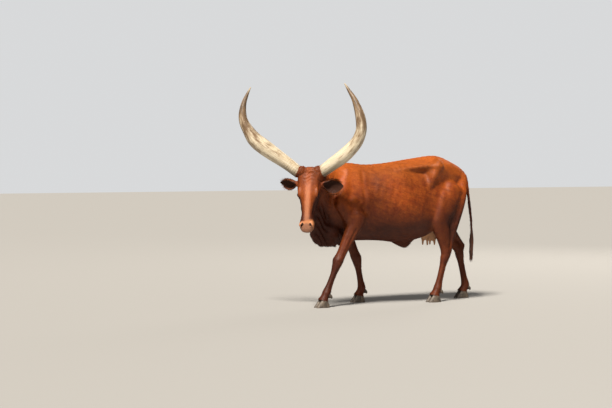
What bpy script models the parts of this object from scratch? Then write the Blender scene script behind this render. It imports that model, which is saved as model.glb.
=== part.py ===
"""Ankole Watusi cow, a still life-size model for Blender 4.5.

Metres, +Z up. The cow walks along +X with its left side towards +Y, and its
head is turned to its left. Each part of the body is one closed object. Flesh
is lofted from cross-sections, fused by a voxel Remesh, smoothed, and then
parted with thin cuts, so that neighbours meet face to face across GAP.
"""
import math

import bmesh
import bpy
import numpy as np
from mathutils import Matrix, Vector
from mathutils.bvhtree import BVHTree

# General sizes
GAP = 0.0003
BODY_VOXEL = 0.011
HEAD_VOXEL = 0.0048
BODY_TRIANGLES = 5000
HEAD_TRIANGLES = 2700
LEFT, RIGHT = 1, -1
SIDES = {"left": LEFT, "right": RIGHT}

# Trunk: x, y, z of the section's middle, half width, height above, depth below
TRUNK = (
    (-0.760, 0.0, 1.070, 0.085, 0.080, 0.130),
    (-0.690, 0.0, 1.080, 0.120, 0.150, 0.200),
    (-0.560, 0.0, 1.070, 0.165, 0.235, 0.290),
    (-0.420, 0.0, 1.030, 0.190, 0.288, 0.325),
    (-0.280, 0.0, 0.965, 0.222, 0.337, 0.378),
    (-0.100, 0.0, 0.915, 0.266, 0.362, 0.372),
    (0.100, 0.0, 0.910, 0.264, 0.340, 0.348),
    (0.280, 0.0, 0.930, 0.228, 0.314, 0.366),
    (0.450, 0.0, 0.955, 0.180, 0.290, 0.395),
    (0.580, 0.0, 0.940, 0.140, 0.250, 0.360),
    (0.660, 0.0, 0.900, 0.095, 0.170, 0.290),
)
TRUNK_TAPER = 0.20

# Ridge of the spine along the back: x, z of its middle, half width
SPINE = ((-0.70, 1.212, 0.032), (-0.50, 1.293, 0.034), (-0.25, 1.272, 0.032), (0.02, 1.233, 0.030),
         (0.25, 1.218, 0.030), (0.42, 1.232, 0.036), (0.56, 1.205, 0.034))
PELVIS = (
    (-0.330, 0.0, 1.150, 0.192, 0.085, 0.120),
    (-0.400, 0.0, 1.160, 0.214, 0.098, 0.130),
    (-0.480, 0.0, 1.170, 0.200, 0.125, 0.140),
    (-0.600, 0.0, 1.135, 0.170, 0.130, 0.140),
    (-0.700, 0.0, 1.110, 0.125, 0.100, 0.120),
    (-0.745, 0.0, 1.095, 0.095, 0.070, 0.095),
)
LOIN_SHELF = ((-0.38, 0.160, 1.236), (-0.26, 0.138, 1.230), (-0.12, 0.118, 1.212), (0.02, 0.100, 1.185))
HOOK = (-0.412, 0.184, 1.226)
SACRUM = (-0.470, 0.030, 1.265)
HOOK_EDGE = ((-0.405, 0.182, 1.205), (-0.362, 0.180, 1.130), (-0.332, 0.158, 1.040), (-0.315, 0.120, 0.960))
PIN = (-0.742, 0.092, 1.125)
THURL = (-0.578, 0.160, 0.975)
SHOULDER_POINT = (0.585, 0.165, 0.920)
SHOULDER_TOP = (0.400, 0.075, 1.175)
BRISKET = (0.585, 0.0, 0.655)
BELLY_FLAP = ((-0.05, 0.0, 0.570), (-0.12, 0.0, 0.536), (-0.175, 0.0, 0.520), (-0.215, 0.0, 0.555),
              (-0.27, 0.0, 0.600))
HOLLOWS = (
    # middle, reach along x, y and z, depth pressed in
    ((-0.215, 0.220, 1.140), (0.110, 0.14, 0.070), 0.014),
    ((-0.580, 0.190, 1.170), (0.110, 0.10, 0.060), 0.012),
    ((0.290, 0.200, 1.120), (0.075, 0.10, 0.120), 0.012),
    ((-0.330, 0.225, 0.900), (0.070, 0.10, 0.110), 0.014),
)

# Neck: x, y, z of the section's middle, half width, height above, depth below
NECK = (
    (0.420, 0.000, 1.030, 0.110, 0.205, 0.240),
    (0.560, 0.012, 1.015, 0.105, 0.212, 0.230),
    (0.680, 0.055, 1.028, 0.096, 0.190, 0.190),
    (0.780, 0.110, 1.052, 0.086, 0.162, 0.150),
    (0.855, 0.165, 1.082, 0.076, 0.135, 0.125),
    (0.905, 0.215, 1.105, 0.074, 0.110, 0.110),
)
# Nape, from the neck's crest up to the back of the poll: middle, half width, height above, depth below
NAPE = (
    (0.740, 0.090, 1.130, 0.060, 0.050, 0.060),
    (0.835, 0.170, 1.152, 0.064, 0.052, 0.060),
    (0.900, 0.228, 1.180, 0.060, 0.044, 0.050),
)
NECK_LATERAL = (-0.30, 0.95, 0.0)
DEWLAP = (
    (0.850, 0.190, 0.960, 0.026, 0.040, 0.070),
    (0.808, 0.125, 0.865, 0.030, 0.075, 0.095),
    (0.755, 0.060, 0.755, 0.036, 0.105, 0.120),
    (0.700, 0.015, 0.640, 0.042, 0.110, 0.120),
    (0.615, 0.000, 0.572, 0.040, 0.060, 0.100),
    (0.480, 0.000, 0.580, 0.038, 0.040, 0.070),
)

# Joint centres of the legs in the photographed step
FORE_JOINTS = {
    "left": {"elbow": (0.440, 0.182, 0.730), "knee": (0.600, 0.170, 0.402),
             "fetlock": (0.716, 0.165, 0.128), "toe": (0.765, 0.165, 0.030)},
    "right": {"elbow": (0.375, -0.182, 0.730), "knee": (0.236, -0.160, 0.402),
              "fetlock": (0.188, -0.155, 0.128), "toe": (0.232, -0.155, 0.030)},
}
HIND_JOINTS = {
    "left": {"hip": (-0.600, 0.125, 1.030), "stifle": (-0.405, 0.178, 0.745),
             "hock": (-0.515, 0.150, 0.440), "fetlock": (-0.436, 0.140, 0.124),
             "toe": (-0.388, 0.140, 0.030), "ham": (-0.690, 0.122, 0.930), "calf": (-0.612, 0.135, 0.690)},
    "right": {"hip": (-0.600, -0.125, 1.030), "stifle": (-0.590, -0.176, 0.705),
              "hock": (-0.836, -0.140, 0.448), "fetlock": (-0.904, -0.130, 0.122),
              "toe": (-0.858, -0.130, 0.030), "ham": (-0.700, -0.122, 0.930), "calf": (-0.742, -0.132, 0.670)},
}
# Sections of a leg: bone, share along it, half width, reach to the front, reach to the back
FORE_SECTIONS = (
    ("elbow", "knee", -0.26, 0.062, 0.085, 0.095),
    ("elbow", "knee", 0.00, 0.060, 0.076, 0.086),
    ("elbow", "knee", 0.25, 0.054, 0.064, 0.066),
    ("elbow", "knee", 0.55, 0.044, 0.049, 0.050),
    ("elbow", "knee", 0.82, 0.041, 0.043, 0.042),
    ("elbow", "knee", 1.00, 0.047, 0.049, 0.044),
    ("knee", "fetlock", 0.20, 0.039, 0.036, 0.037),
    ("knee", "fetlock", 0.42, 0.027, 0.026, 0.031),
    ("knee", "fetlock", 0.75, 0.027, 0.026, 0.033),
    ("knee", "fetlock", 1.00, 0.036, 0.035, 0.041),
    ("fetlock", "toe", 0.42, 0.035, 0.031, 0.034),
    ("fetlock", "toe", 0.75, 0.045, 0.042, 0.040),
)
HIND_SECTIONS = (
    ("hip", "stifle", 0.00, 0.085, 0.120, 0.120),
    ("hip", "stifle", 0.50, 0.080, 0.130, 0.130),
    ("hip", "stifle", 0.85, 0.066, 0.085, 0.120),
    ("stifle", "hock", 0.12, 0.058, 0.068, 0.120),
    ("stifle", "hock", 0.45, 0.047, 0.052, 0.092),
    ("stifle", "hock", 0.78, 0.036, 0.038, 0.066),
    ("stifle", "hock", 1.00, 0.040, 0.042, 0.046),
    ("hock", "fetlock", 0.16, 0.037, 0.037, 0.044),
    ("hock", "fetlock", 0.36, 0.028, 0.028, 0.034),
    ("hock", "fetlock", 0.76, 0.028, 0.027, 0.034),
    ("hock", "fetlock", 1.00, 0.037, 0.036, 0.042),
    ("fetlock", "toe", 0.42, 0.036, 0.032, 0.035),
    ("fetlock", "toe", 0.75, 0.046, 0.043, 0.041),
)
HOCK_TIP_BACK = 0.050
HOCK_TIP_UP = 0.040

# Feet
CORONET_HEIGHT = 0.062
CORONET_SLOPE = math.radians(20)
CLAW_LENGTH = 0.124
TOE_ANGLE = math.radians(52)
HEEL_BEHIND = 0.046
HEEL_LEAN = 0.012
CLAW_TOP_WIDTH = 0.92
# Outline of a sole from the heel to the toe: share of the length, share of the half width
CLAW_OUTLINE = ((0.00, 0.60), (0.10, 0.86), (0.35, 1.00), (0.65, 0.92), (0.86, 0.62), (1.00, 0.22))
CLAW_WIDTH = 0.049
CLAW_SPLIT = 0.0035
DEWCLAW_RADIUS = 0.013

# Udder: middle, half sizes, and teats
UDDER = (-0.440, 0.0, 0.628)
UDDER_SIZE = (0.095, 0.075, 0.085)
TEAT_SPREAD = (0.038, 0.036)
TEAT_LENGTH = 0.050
TEAT_RADIUS = 0.011

# Tail: x, y, z, radius; and its switch
TAIL = (
    (-0.640, 0.0, 1.195, 0.036), (-0.730, 0.0, 1.192, 0.034), (-0.796, 0.0, 1.140, 0.030),
    (-0.832, 0.0, 1.060, 0.025), (-0.852, 0.003, 0.950, 0.020), (-0.872, 0.008, 0.800, 0.016),
    (-0.884, 0.012, 0.660, 0.013), (-0.884, 0.013, 0.560, 0.0105), (-0.879, 0.012, 0.480, 0.008),
)
TAIL_SPLIT = 2
SWITCH_TOP = 0.630
SWITCH_BOTTOM = 0.330
SWITCH_CORE_END = 0.492
SWITCH_LOCKS = 15
LOCK_WIDTHS = (0.0070, 0.0105, 0.0110, 0.0080, 0.0016)
LOCK_THINNESS = 0.42
LOCK_TURN = 2.399963

# Head: the poll's place and how the head is turned
POLL = (0.930, 0.252, 1.222)
HEAD_YAW = math.radians(54)
FACE_FROM_VERTICAL = math.radians(17)
HEAD_ROLL = math.radians(-0.5)
# Skull along the face: distance from the poll, half width, brow line, underside of the upper jaw
SKULL = (
    (-0.005, 0.060, -0.030, -0.130),
    (0.050, 0.100, -0.006, -0.165),
    (0.120, 0.107, 0.000, -0.175),
    (0.190, 0.101, 0.004, -0.170),
    (0.250, 0.084, 0.004, -0.155),
    (0.320, 0.066, -0.001, -0.135),
    (0.400, 0.058, -0.009, -0.118),
    (0.470, 0.063, -0.014, -0.108),
    (0.520, 0.060, -0.026, -0.104),
    (0.545, 0.046, -0.040, -0.098),
)
# Lower jaw, one bar each side: distance from the poll, sideways, dorsal, half width, half height
JAW = (
    (0.120, 0.058, -0.150, 0.026, 0.052),
    (0.190, 0.058, -0.172, 0.026, 0.054),
    (0.270, 0.048, -0.160, 0.024, 0.046),
    (0.360, 0.034, -0.136, 0.022, 0.032),
    (0.440, 0.024, -0.122, 0.022, 0.026),
    (0.500, 0.018, -0.112, 0.024, 0.022),
)
CHEEK = (0.165, 0.074, -0.120)
CHEEK_SIZE = (0.075, 0.028, 0.062)
BROW = (0.208, 0.071, -0.028)
BROW_SIZE = (0.050, 0.021, 0.020)
# Flesh between the poll and each horn's base
HORN_BED = (0.022, 0.064, -0.052)
HORN_BED_SIZE = (0.052, 0.044, 0.050)
FACIAL_CREST = (0.315, 0.052, -0.078)
NOSE_WING = (0.492, 0.040, -0.040)
EYE = (0.232, 0.0755, -0.047)
EYE_RADIUS = 0.0190
EYE_LOOK = (-0.02, 0.88, 0.47)
LID_THICKNESS = 0.0048
LID_OPENING = 0.0105
NOSTRIL = (0.500, 0.036, -0.020)
NOSTRIL_SIZE = (0.017, 0.0100, 0.014)
MOUTH_CORNER = (0.418, -0.113)
MOUTH_FRONT = -0.1005
MOUTH_TURN = 0.490
MOUTH_GROOVE = 0.0042

# Horns: out from the poll, up and forward, then radius
HORN_LEFT = (
    (0.060, -0.035, -0.062, 0.0505), (0.107, -0.030, -0.060, 0.0520), (0.202, 0.034, -0.040, 0.0560),
    (0.288, 0.094, -0.020, 0.0600), (0.365, 0.163, -0.005, 0.0565), (0.421, 0.232, 0.005, 0.0515),
    (0.451, 0.309, 0.008, 0.0472), (0.454, 0.373, 0.006, 0.0455), (0.442, 0.446, -0.002, 0.0420),
    (0.416, 0.524, -0.016, 0.0322), (0.386, 0.592, -0.034, 0.0236), (0.352, 0.644, -0.052, 0.0170),
    (0.322, 0.690, -0.068, 0.0110), (0.298, 0.726, -0.080, 0.0040),
)
HORN_RIGHT = (
    (0.060, -0.040, -0.062, 0.0505), (0.107, -0.032, -0.060, 0.0520), (0.170, 0.016, -0.045, 0.0545),
    (0.2335, 0.063, -0.030, 0.0580), (0.373, 0.163, -0.004, 0.0680), (0.470, 0.240, 0.008, 0.0640),
    (0.532, 0.326, 0.010, 0.0490), (0.570, 0.399, 0.006, 0.0400), (0.582, 0.472, -0.004, 0.0325),
    (0.573, 0.558, -0.022, 0.0220), (0.549, 0.633, -0.044, 0.0130), (0.522, 0.697, -0.066, 0.0040),
)
HORN_PATHS = {"left": HORN_LEFT, "right": HORN_RIGHT}
HORN_START = 1
HORN_SIDES = 11

# Ears, from the root to the tip: share of the length, half width, half thickness
EAR_SECTIONS = (
    (0.00, 0.026, 0.024), (0.16, 0.038, 0.028), (0.36, 0.056, 0.032), (0.56, 0.060, 0.028),
    (0.76, 0.046, 0.020), (0.90, 0.024, 0.011), (1.00, 0.006, 0.005),
)
# How wide each ear is opened, and how far its lower edge sags below its straight upper edge
EAR_SPREAD = {"left": 1.10, "right": 0.84}
EAR_BELLY = 0.014
EAR_LENGTH = {"left": 0.180, "right": 0.165}
EAR_WALL = 0.006
EAR_ROOT = (0.122, 0.088, -0.088)
EAR_STUB = 0.026
# Root to tip, then the way the cup opens, as out, up and forward of the head
EAR_POSE = {
    "left": ((0.965, -0.080, -0.150), (0.10, 0.02, 0.99)),
    "right": ((0.940, 0.060, -0.300), (0.16, -0.42, 0.88)),
}

# Where the body is parted: a point on the cut and the way that it faces
NECK_CUT = ((0.600, 0.0, 1.000), (0.90, 0.12, -0.30))
HEAD_CUT = ((0.868, 0.178, 1.080), (0.62, 0.72, 0.05))
# Corners of the volumes that the legs are parted with: bone, share, half width, to the front, to the back
CELL_CORNERS = {
    "fore": (("elbow", "knee", -0.42, 0.100, 0.140, 0.110), ("elbow", "knee", 0.0, 0.100, 0.130, 0.105),
             ("knee", "fetlock", 0.0, 0.085, 0.090, 0.090), ("fetlock", "toe", 2.5, 0.090, 0.150, 0.150)),
    "hind": (("hip", "stifle", 0.10, 0.120, 0.190, 0.200), ("stifle", "hock", 0.0, 0.120, 0.090, 0.300),
             ("hock", "fetlock", 0.0, 0.085, 0.090, 0.130), ("fetlock", "toe", 2.5, 0.090, 0.150, 0.150)),
}


def head_matrix():
    """Place of the head: local x runs down the face, y to its left and z out of its brow."""
    pitch = math.pi / 2 - FACE_FROM_VERTICAL
    turn = Matrix.Rotation(HEAD_YAW, 4, "Z") @ Matrix.Rotation(pitch, 4, "Y")
    roll = Matrix.Rotation(HEAD_ROLL, 4, Vector((math.cos(HEAD_YAW), math.sin(HEAD_YAW), 0.0)))
    return Matrix.Translation(POLL) @ roll @ turn


def turned_frame(out, up, forward, side=LEFT):
    """Direction in the world of an out, up, forward triple of the turned head."""
    left = Vector((-math.sin(HEAD_YAW), math.cos(HEAD_YAW), 0.0))
    ahead = Vector((math.cos(HEAD_YAW), math.sin(HEAD_YAW), 0.0))
    return left * (out * side) + Vector((0.0, 0.0, up)) + ahead * forward


def unit(vectors):
    """Rows of an array brought to length one."""
    return vectors / np.linalg.norm(vectors, axis=-1, keepdims=True)


def smooth_rows(rows, steps):
    """Rows along a smooth curve through the given rows, with some steps to each span."""
    rows = np.array(rows, dtype=float)
    padded = np.vstack([2 * rows[0] - rows[1], rows, 2 * rows[-1] - rows[-2]])
    curve = []
    for before, start, end, after in zip(padded, padded[1:], padded[2:], padded[3:]):
        for step in range(steps):
            t = step / steps
            curve.append(0.5 * (2 * start + (end - before) * t
                                + (2 * before - 5 * start + 4 * end - after) * t * t
                                + (3 * start - 3 * end + after - before) * t ** 3))
    curve.append(rows[-1])
    return np.array(curve)


def loft(stations, lateral=(0.0, 1.0, 0.0), power=2.0, taper=0.0, sides=18, steps=3, rounded=True):
    """Closed tube through stations of x, y, z, half width, reach over and reach under.

    Over is the tangent crossed with the lateral direction: up on a part that runs
    forward, and forward on one that runs down.
    """
    rows = smooth_rows(stations, steps)
    centres, radii = rows[:, :3], np.maximum(rows[:, 3:6], 0.0015)
    along = unit(np.gradient(centres, axis=0))
    lateral = np.array(lateral, dtype=float)
    across = unit(lateral - along * (along @ lateral)[:, None])
    over = np.cross(along, across)
    angles = np.arange(sides) * 2 * math.pi / sides
    cosine, sine = np.cos(angles), np.sin(angles)
    wide = np.sign(cosine) * np.abs(cosine) ** (2 / power) * (1 - taper * sine)
    tall = np.sign(sine) * np.abs(sine) ** (2 / power)

    def ring(index, share=1.0, shift=0.0):
        """One cross-section, drawn in by a share and moved along the tube."""
        half, up, down = radii[index] * share
        reach = np.where(tall > 0, up, down)
        middle = centres[index] + along[index] * shift
        return middle + np.outer(wide * half, across[index]) + np.outer(tall * reach, over[index])

    rings = []
    bulge = [0.55 * radii[0].min(), 0.55 * radii[-1].min()] if rounded else [0.0, 0.0]
    if rounded:
        rings += [ring(0, 0.5, -0.87 * bulge[0]), ring(0, 0.87, -0.5 * bulge[0])]
    rings += [ring(index) for index in range(len(rows))]
    if rounded:
        rings += [ring(-1, 0.87, 0.5 * bulge[1]), ring(-1, 0.5, 0.87 * bulge[1])]
    points = np.vstack(rings + [centres[0] - along[0] * bulge[0], centres[-1] + along[-1] * bulge[1]])
    faces = []
    for row in range(len(rings) - 1):
        for side in range(sides):
            near, far = row * sides, (row + 1) * sides
            after = (side + 1) % sides
            faces.append((near + side, near + after, far + after, far + side))
    start, end, last = len(points) - 2, len(points) - 1, (len(rings) - 1) * sides
    for side in range(sides):
        after = (side + 1) % sides
        faces.append((start, after, side))
        faces.append((end, last + side, last + after))
    return points, faces


def ball(middle, size, matrix=None, rings=10):
    """Ellipsoid of half sizes, turned and placed by a matrix."""
    work = bmesh.new()
    bmesh.ops.create_uvsphere(work, u_segments=2 * rings, v_segments=rings, radius=1.0)
    place = Matrix.Translation(middle) @ Matrix.Diagonal((*size, 1.0))
    if matrix is not None:
        place = matrix @ place
    work.transform(place)
    points = np.array([vertex.co[:] for vertex in work.verts])
    faces = [tuple(vertex.index for vertex in face.verts) for face in work.faces]
    work.free()
    return points, faces


def moved(shape, matrix):
    """A shape taken through a matrix."""
    points, faces = shape
    turned = points @ np.array(matrix.to_3x3()).T + np.array(matrix.translation)
    return turned, faces


def mirrored(points):
    """Points or stations on the other side of the body."""
    rows = np.array(points, dtype=float)
    rows[..., 1] *= -1
    return rows


def new_object(name, shapes):
    """One mesh object that holds the given shapes."""
    points, faces, first = [], [], 0
    for shape_points, shape_faces in shapes:
        points.append(shape_points)
        faces += [tuple(first + index for index in face) for face in shape_faces]
        first += len(shape_points)
    mesh = bpy.data.meshes.new(name)
    mesh.from_pydata(np.vstack(points).tolist(), [], faces)
    mesh.update()
    thing = bpy.data.objects.new(name, mesh)
    bpy.context.scene.collection.objects.link(thing)
    return thing


def settle(thing):
    """Bake an object's modifiers into its mesh."""
    bpy.context.view_layer.update()
    shape = bpy.data.meshes.new_from_object(thing.evaluated_get(bpy.context.evaluated_depsgraph_get()))
    thing.modifiers.clear()
    thing.data = shape
    return thing


def fuse(thing, voxel, rounds):
    """Weld overlapping shapes into one skin and soften where they meet."""
    weld = thing.modifiers.new("Weld flesh", "REMESH")
    weld.mode = "VOXEL"
    weld.voxel_size = voxel
    soften = thing.modifiers.new("Soften", "SMOOTH")
    soften.factor = 0.5
    soften.iterations = rounds
    return settle(thing)


def press(thing, middle, reach, depth):
    """Push a skin in around a point, fading out with distance."""
    points = np.empty(len(thing.data.vertices) * 3)
    thing.data.vertices.foreach_get("co", points)
    points = points.reshape(-1, 3)
    normals = np.array([vertex.normal[:] for vertex in thing.data.vertices])
    away = (((points - np.array(middle)) / np.array(reach)) ** 2).sum(axis=1)
    points -= normals * (depth * np.exp(-away))[:, None]
    thing.data.vertices.foreach_set("co", points.ravel())
    thing.data.update()


def thin_out(thing, triangles):
    """Reduce a mesh to about a number of triangles."""
    work = bmesh.new()
    work.from_mesh(thing.data)
    bmesh.ops.triangulate(work, faces=work.faces)
    now = len(work.faces)
    work.to_mesh(thing.data)
    work.free()
    reduce = thing.modifiers.new("Reduce", "DECIMATE")
    reduce.ratio = min(1.0, triangles / now)
    return settle(thing)


def discard(thing):
    """Take an object out of the scene."""
    bpy.data.objects.remove(thing, do_unlink=True)


def keep_largest(thing):
    """Leave only the largest closed surface of a mesh."""
    work = bmesh.new()
    work.from_mesh(thing.data)
    bmesh.ops.remove_doubles(work, verts=work.verts, dist=0.00001)
    unseen, groups = set(work.verts), []
    while unseen:
        queue, group = [unseen.pop()], []
        while queue:
            vertex = queue.pop()
            group.append(vertex)
            for edge in vertex.link_edges:
                other = edge.other_vert(vertex)
                if other in unseen:
                    unseen.remove(other)
                    queue.append(other)
        groups.append(group)
    groups.sort(key=len)
    for group in groups[:-1]:
        bmesh.ops.delete(work, geom=group, context="VERTS")
    bmesh.ops.triangulate(work, faces=work.faces)
    work.to_mesh(thing.data)
    work.free()


def combine(thing, tool, operation, solver="EXACT"):
    """Cut, keep or add a tool object's volume, then drop the tool."""
    cut = thing.modifiers.new("Combine", "BOOLEAN")
    cut.operation = operation
    cut.solver = solver
    cut.object = tool
    settle(thing)
    discard(tool)
    keep_largest(thing)
    return thing


def copy_of(thing, name):
    """A separate object with the same mesh."""
    twin = bpy.data.objects.new(name, thing.data.copy())
    bpy.context.scene.collection.objects.link(twin)
    return twin


def slab(point, facing, reach=1.6, thickness=1.6, grow=0.0):
    """Box that begins at a plane through a point and lies on the side that it faces."""
    facing = Vector(facing).normalized()
    start = Vector(point) - facing * grow
    work = bmesh.new()
    bmesh.ops.create_cube(work, size=1.0)
    turn = facing.to_track_quat("Z", "Y").to_matrix().to_4x4()
    place = Matrix.Translation(start + facing * (thickness / 2)) @ turn
    work.transform(place @ Matrix.Diagonal((reach, reach, thickness, 1.0)))
    mesh = bpy.data.meshes.new("Slab")
    work.to_mesh(mesh)
    work.free()
    tool = bpy.data.objects.new("Slab", mesh)
    bpy.context.scene.collection.objects.link(tool)
    return tool


def between(start, end, share):
    """Point at a share of the way from one point to another."""
    return tuple(a + (b - a) * share for a, b in zip(start, end))


def leg_stations(joints, sections):
    """Cross-sections of a leg, from its joint centres and its table of sizes."""
    stations = []
    for start, end, share, half, front, back in sections:
        stations.append((*between(joints[start], joints[end], share), half, front, back))
    return stations


def hock_tip(joints):
    """Point of the hock, behind and above the joint's centre."""
    x, y, z = joints["hock"]
    return (x - HOCK_TIP_BACK, y, z + HOCK_TIP_UP)


def trunk_shapes():
    """Barrel, spine, hips, shoulders and chest."""
    shapes = [loft(TRUNK, power=2.15, taper=TRUNK_TAPER, sides=28)]
    shapes.append(loft([(x, 0.0, z, half, 0.034, 0.05) for x, z, half in SPINE]))
    shapes.append(loft(PELVIS, power=2.2, sides=24))
    shapes.append(ball(BRISKET, (0.125, 0.088, 0.125)))
    shapes.append(loft([(*point, 0.030, 0.030, 0.030) for point in BELLY_FLAP]))
    for side in (LEFT, RIGHT):
        flip = mirrored if side == RIGHT else np.array
        shapes.append(loft([(*point, 0.045, 0.022, 0.045) for point in flip(LOIN_SHELF)]))
        wing = [flip(SACRUM), between(flip(SACRUM), flip(HOOK), 0.55), flip(HOOK)]
        shapes.append(loft([(*point, 0.055, 0.036, 0.060) for point in wing], lateral=(1.0, 0.0, 0.0)))
        shapes.append(ball(flip(HOOK), (0.064, 0.048, 0.044)))
        shapes.append(loft([(*point, 0.044, 0.042, 0.042) for point in flip(HOOK_EDGE)]))
        shapes.append(ball(flip(THURL), (0.062, 0.046, 0.100)))
        shapes.append(ball(flip(PIN), (0.042, 0.030, 0.045)))
        blade = [SHOULDER_TOP, between(SHOULDER_TOP, SHOULDER_POINT, 0.5), SHOULDER_POINT]
        sizes = ((0.028, 0.085, 0.075), (0.048, 0.085, 0.080), (0.055, 0.060, 0.065))
        shapes.append(loft([(*point, *size) for point, size in zip(flip(blade), sizes)]))
    return shapes


def leg_shapes():
    """Upper and lower legs, with the hamstrings and the points of the hocks."""
    shapes = []
    for name, side in SIDES.items():
        fore, hind = FORE_JOINTS[name], HIND_JOINTS[name]
        flip = mirrored if side == RIGHT else np.array
        shapes.append(loft(leg_stations(fore, FORE_SECTIONS), power=2.2))
        shapes.append(loft(leg_stations(hind, HIND_SECTIONS), power=2.2))
        shoulder = tuple(flip(SHOULDER_POINT))
        arm = [shoulder, between(shoulder, fore["elbow"], 0.5), fore["elbow"]]
        arm_sizes = ((0.052, 0.060, 0.070), (0.056, 0.070, 0.085), (0.054, 0.070, 0.075))
        shapes.append(loft([(*point, *size) for point, size in zip(arm, arm_sizes)]))
        x, y, z = fore["elbow"]
        shapes.append(ball((x + 0.005, y - 0.012 * side, z + 0.120), (0.105, 0.052, 0.120)))
        tip, pin = hock_tip(hind), tuple(flip(PIN))
        tendon = between(hind["calf"], tip, 0.6)
        ham_path = (pin, hind["ham"], hind["calf"], tendon, tip)
        ham_sizes = ((0.040, 0.060, 0.038), (0.072, 0.115, 0.048), (0.055, 0.085, 0.044),
                     (0.026, 0.034, 0.021), (0.022, 0.024, 0.018))
        shapes.append(loft([(*point, *size) for point, size in zip(ham_path, ham_sizes)]))
        heel = (hind["hock"][0] - 0.022, hind["hock"][1], hind["hock"][2] - 0.030)
        shapes.append(loft([(*tip, 0.021, 0.024, 0.022), (*heel, 0.030, 0.030, 0.024)], steps=4))
        stifle, flank = hind["stifle"], (-0.25, 0.185 * side, 0.760)
        fold = [stifle, between(stifle, flank, 0.5), flank]
        shapes.append(loft([(*point, 0.030, 0.045, 0.045) for point in fold]))
    return shapes


def tail_stations(first, last, grow=1.0):
    """Cross-sections of the tail between two of its points."""
    return [(x, y, z, radius * grow, radius * grow, radius * grow) for x, y, z, radius in TAIL[first:last]]


def udder_shapes():
    """Small udder between the thighs, with four teats."""
    shapes = [ball(UDDER, UDDER_SIZE)]
    for along in (LEFT, RIGHT):
        for side in (LEFT, RIGHT):
            x = UDDER[0] + TEAT_SPREAD[0] * along + 0.012
            y = UDDER[1] + TEAT_SPREAD[1] * side
            top, tip = UDDER[2] - 0.045, UDDER[2] - UDDER_SIZE[2] - TEAT_LENGTH + 0.018
            stations = [(x, y, top, 0.022, 0.022, 0.022),
                        (x, y, between((top,), (tip,), 0.55)[0], TEAT_RADIUS * 1.25, TEAT_RADIUS * 1.25,
                         TEAT_RADIUS * 1.25),
                        (x, y + 0.004 * side, tip, TEAT_RADIUS, TEAT_RADIUS, TEAT_RADIUS)]
            shapes.append(loft(stations))
    return shapes


def make_body():
    """Trunk, neck and legs as one skin."""
    shapes = trunk_shapes() + leg_shapes() + udder_shapes()
    shapes.append(loft(NECK, lateral=NECK_LATERAL, power=2.1, sides=24))
    shapes.append(loft(DEWLAP, lateral=NECK_LATERAL))
    shapes.append(loft(NAPE, lateral=NECK_LATERAL))
    shapes.append(loft(tail_stations(0, TAIL_SPLIT + 2)))
    body = fuse(new_object("body", shapes), BODY_VOXEL, 7)
    for middle, reach, depth in HOLLOWS:
        press(body, middle, reach, depth)
        press(body, mirrored(middle), reach, depth)
    return thin_out(body, BODY_TRIANGLES)


def leg_cell(joints, kind, grow=0.0):
    """Convex volume that a leg is parted with, a little wider than the leg itself."""
    side = LEFT if joints["fetlock"][1] > 0 else RIGHT
    work = bmesh.new()
    for start, end, share, half, front, back in CELL_CORNERS[kind]:
        x, y, z = between(joints[start], joints[end], share)
        for px in (x - back - grow, x + front + grow):
            for py in (y + 0.025 * side - half - grow, y + 0.025 * side + half + grow):
                for pz in (z - grow, z + grow):
                    work.verts.new((px, py, pz))
    hull = bmesh.ops.convex_hull(work, input=work.verts)
    inside = set(hull["geom_interior"] + hull["geom_unused"])
    bmesh.ops.delete(work, geom=[item for item in inside if isinstance(item, bmesh.types.BMVert)],
                     context="VERTS")
    bmesh.ops.recalc_face_normals(work, faces=work.faces)
    mesh = bpy.data.meshes.new("Cell")
    work.to_mesh(mesh)
    work.free()
    cell = bpy.data.objects.new("Cell", mesh)
    bpy.context.scene.collection.objects.link(cell)
    return cell


def ankle_point(joints):
    """Middle of the coronet, where the leg ends and the claws begin."""
    x, y, _ = between(joints["fetlock"], joints["toe"], 0.62)
    return (x, y, CORONET_HEIGHT)


def coronet_facing():
    """Way that the coronet's cut faces, down to the claws."""
    return (math.sin(CORONET_SLOPE), 0.0, -math.cos(CORONET_SLOPE))


def make_leg(body, name, joints, kind):
    """One leg, from the trunk to the coronet."""
    leg = copy_of(body, name)
    combine(leg, leg_cell(joints, kind), "INTERSECT")
    combine(leg, slab(ankle_point(joints), coronet_facing(), reach=0.5, thickness=0.3, grow=GAP), "DIFFERENCE")
    for side in (LEFT, RIGHT):
        x, y, z = joints["fetlock"]
        root = (x - 0.030, y + 0.017 * side, z - 0.022)
        tip = (x - 0.050, y + 0.021 * side, z - 0.046)
        sizes = (DEWCLAW_RADIUS, DEWCLAW_RADIUS * 0.7)
        spur = loft([(*root, sizes[0], sizes[0], sizes[0]), (*tip, sizes[1], sizes[1], sizes[1])],
                    sides=8, steps=1)
        combine(leg, new_object("Spur", [spur]), "UNION")
    return leg


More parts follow.
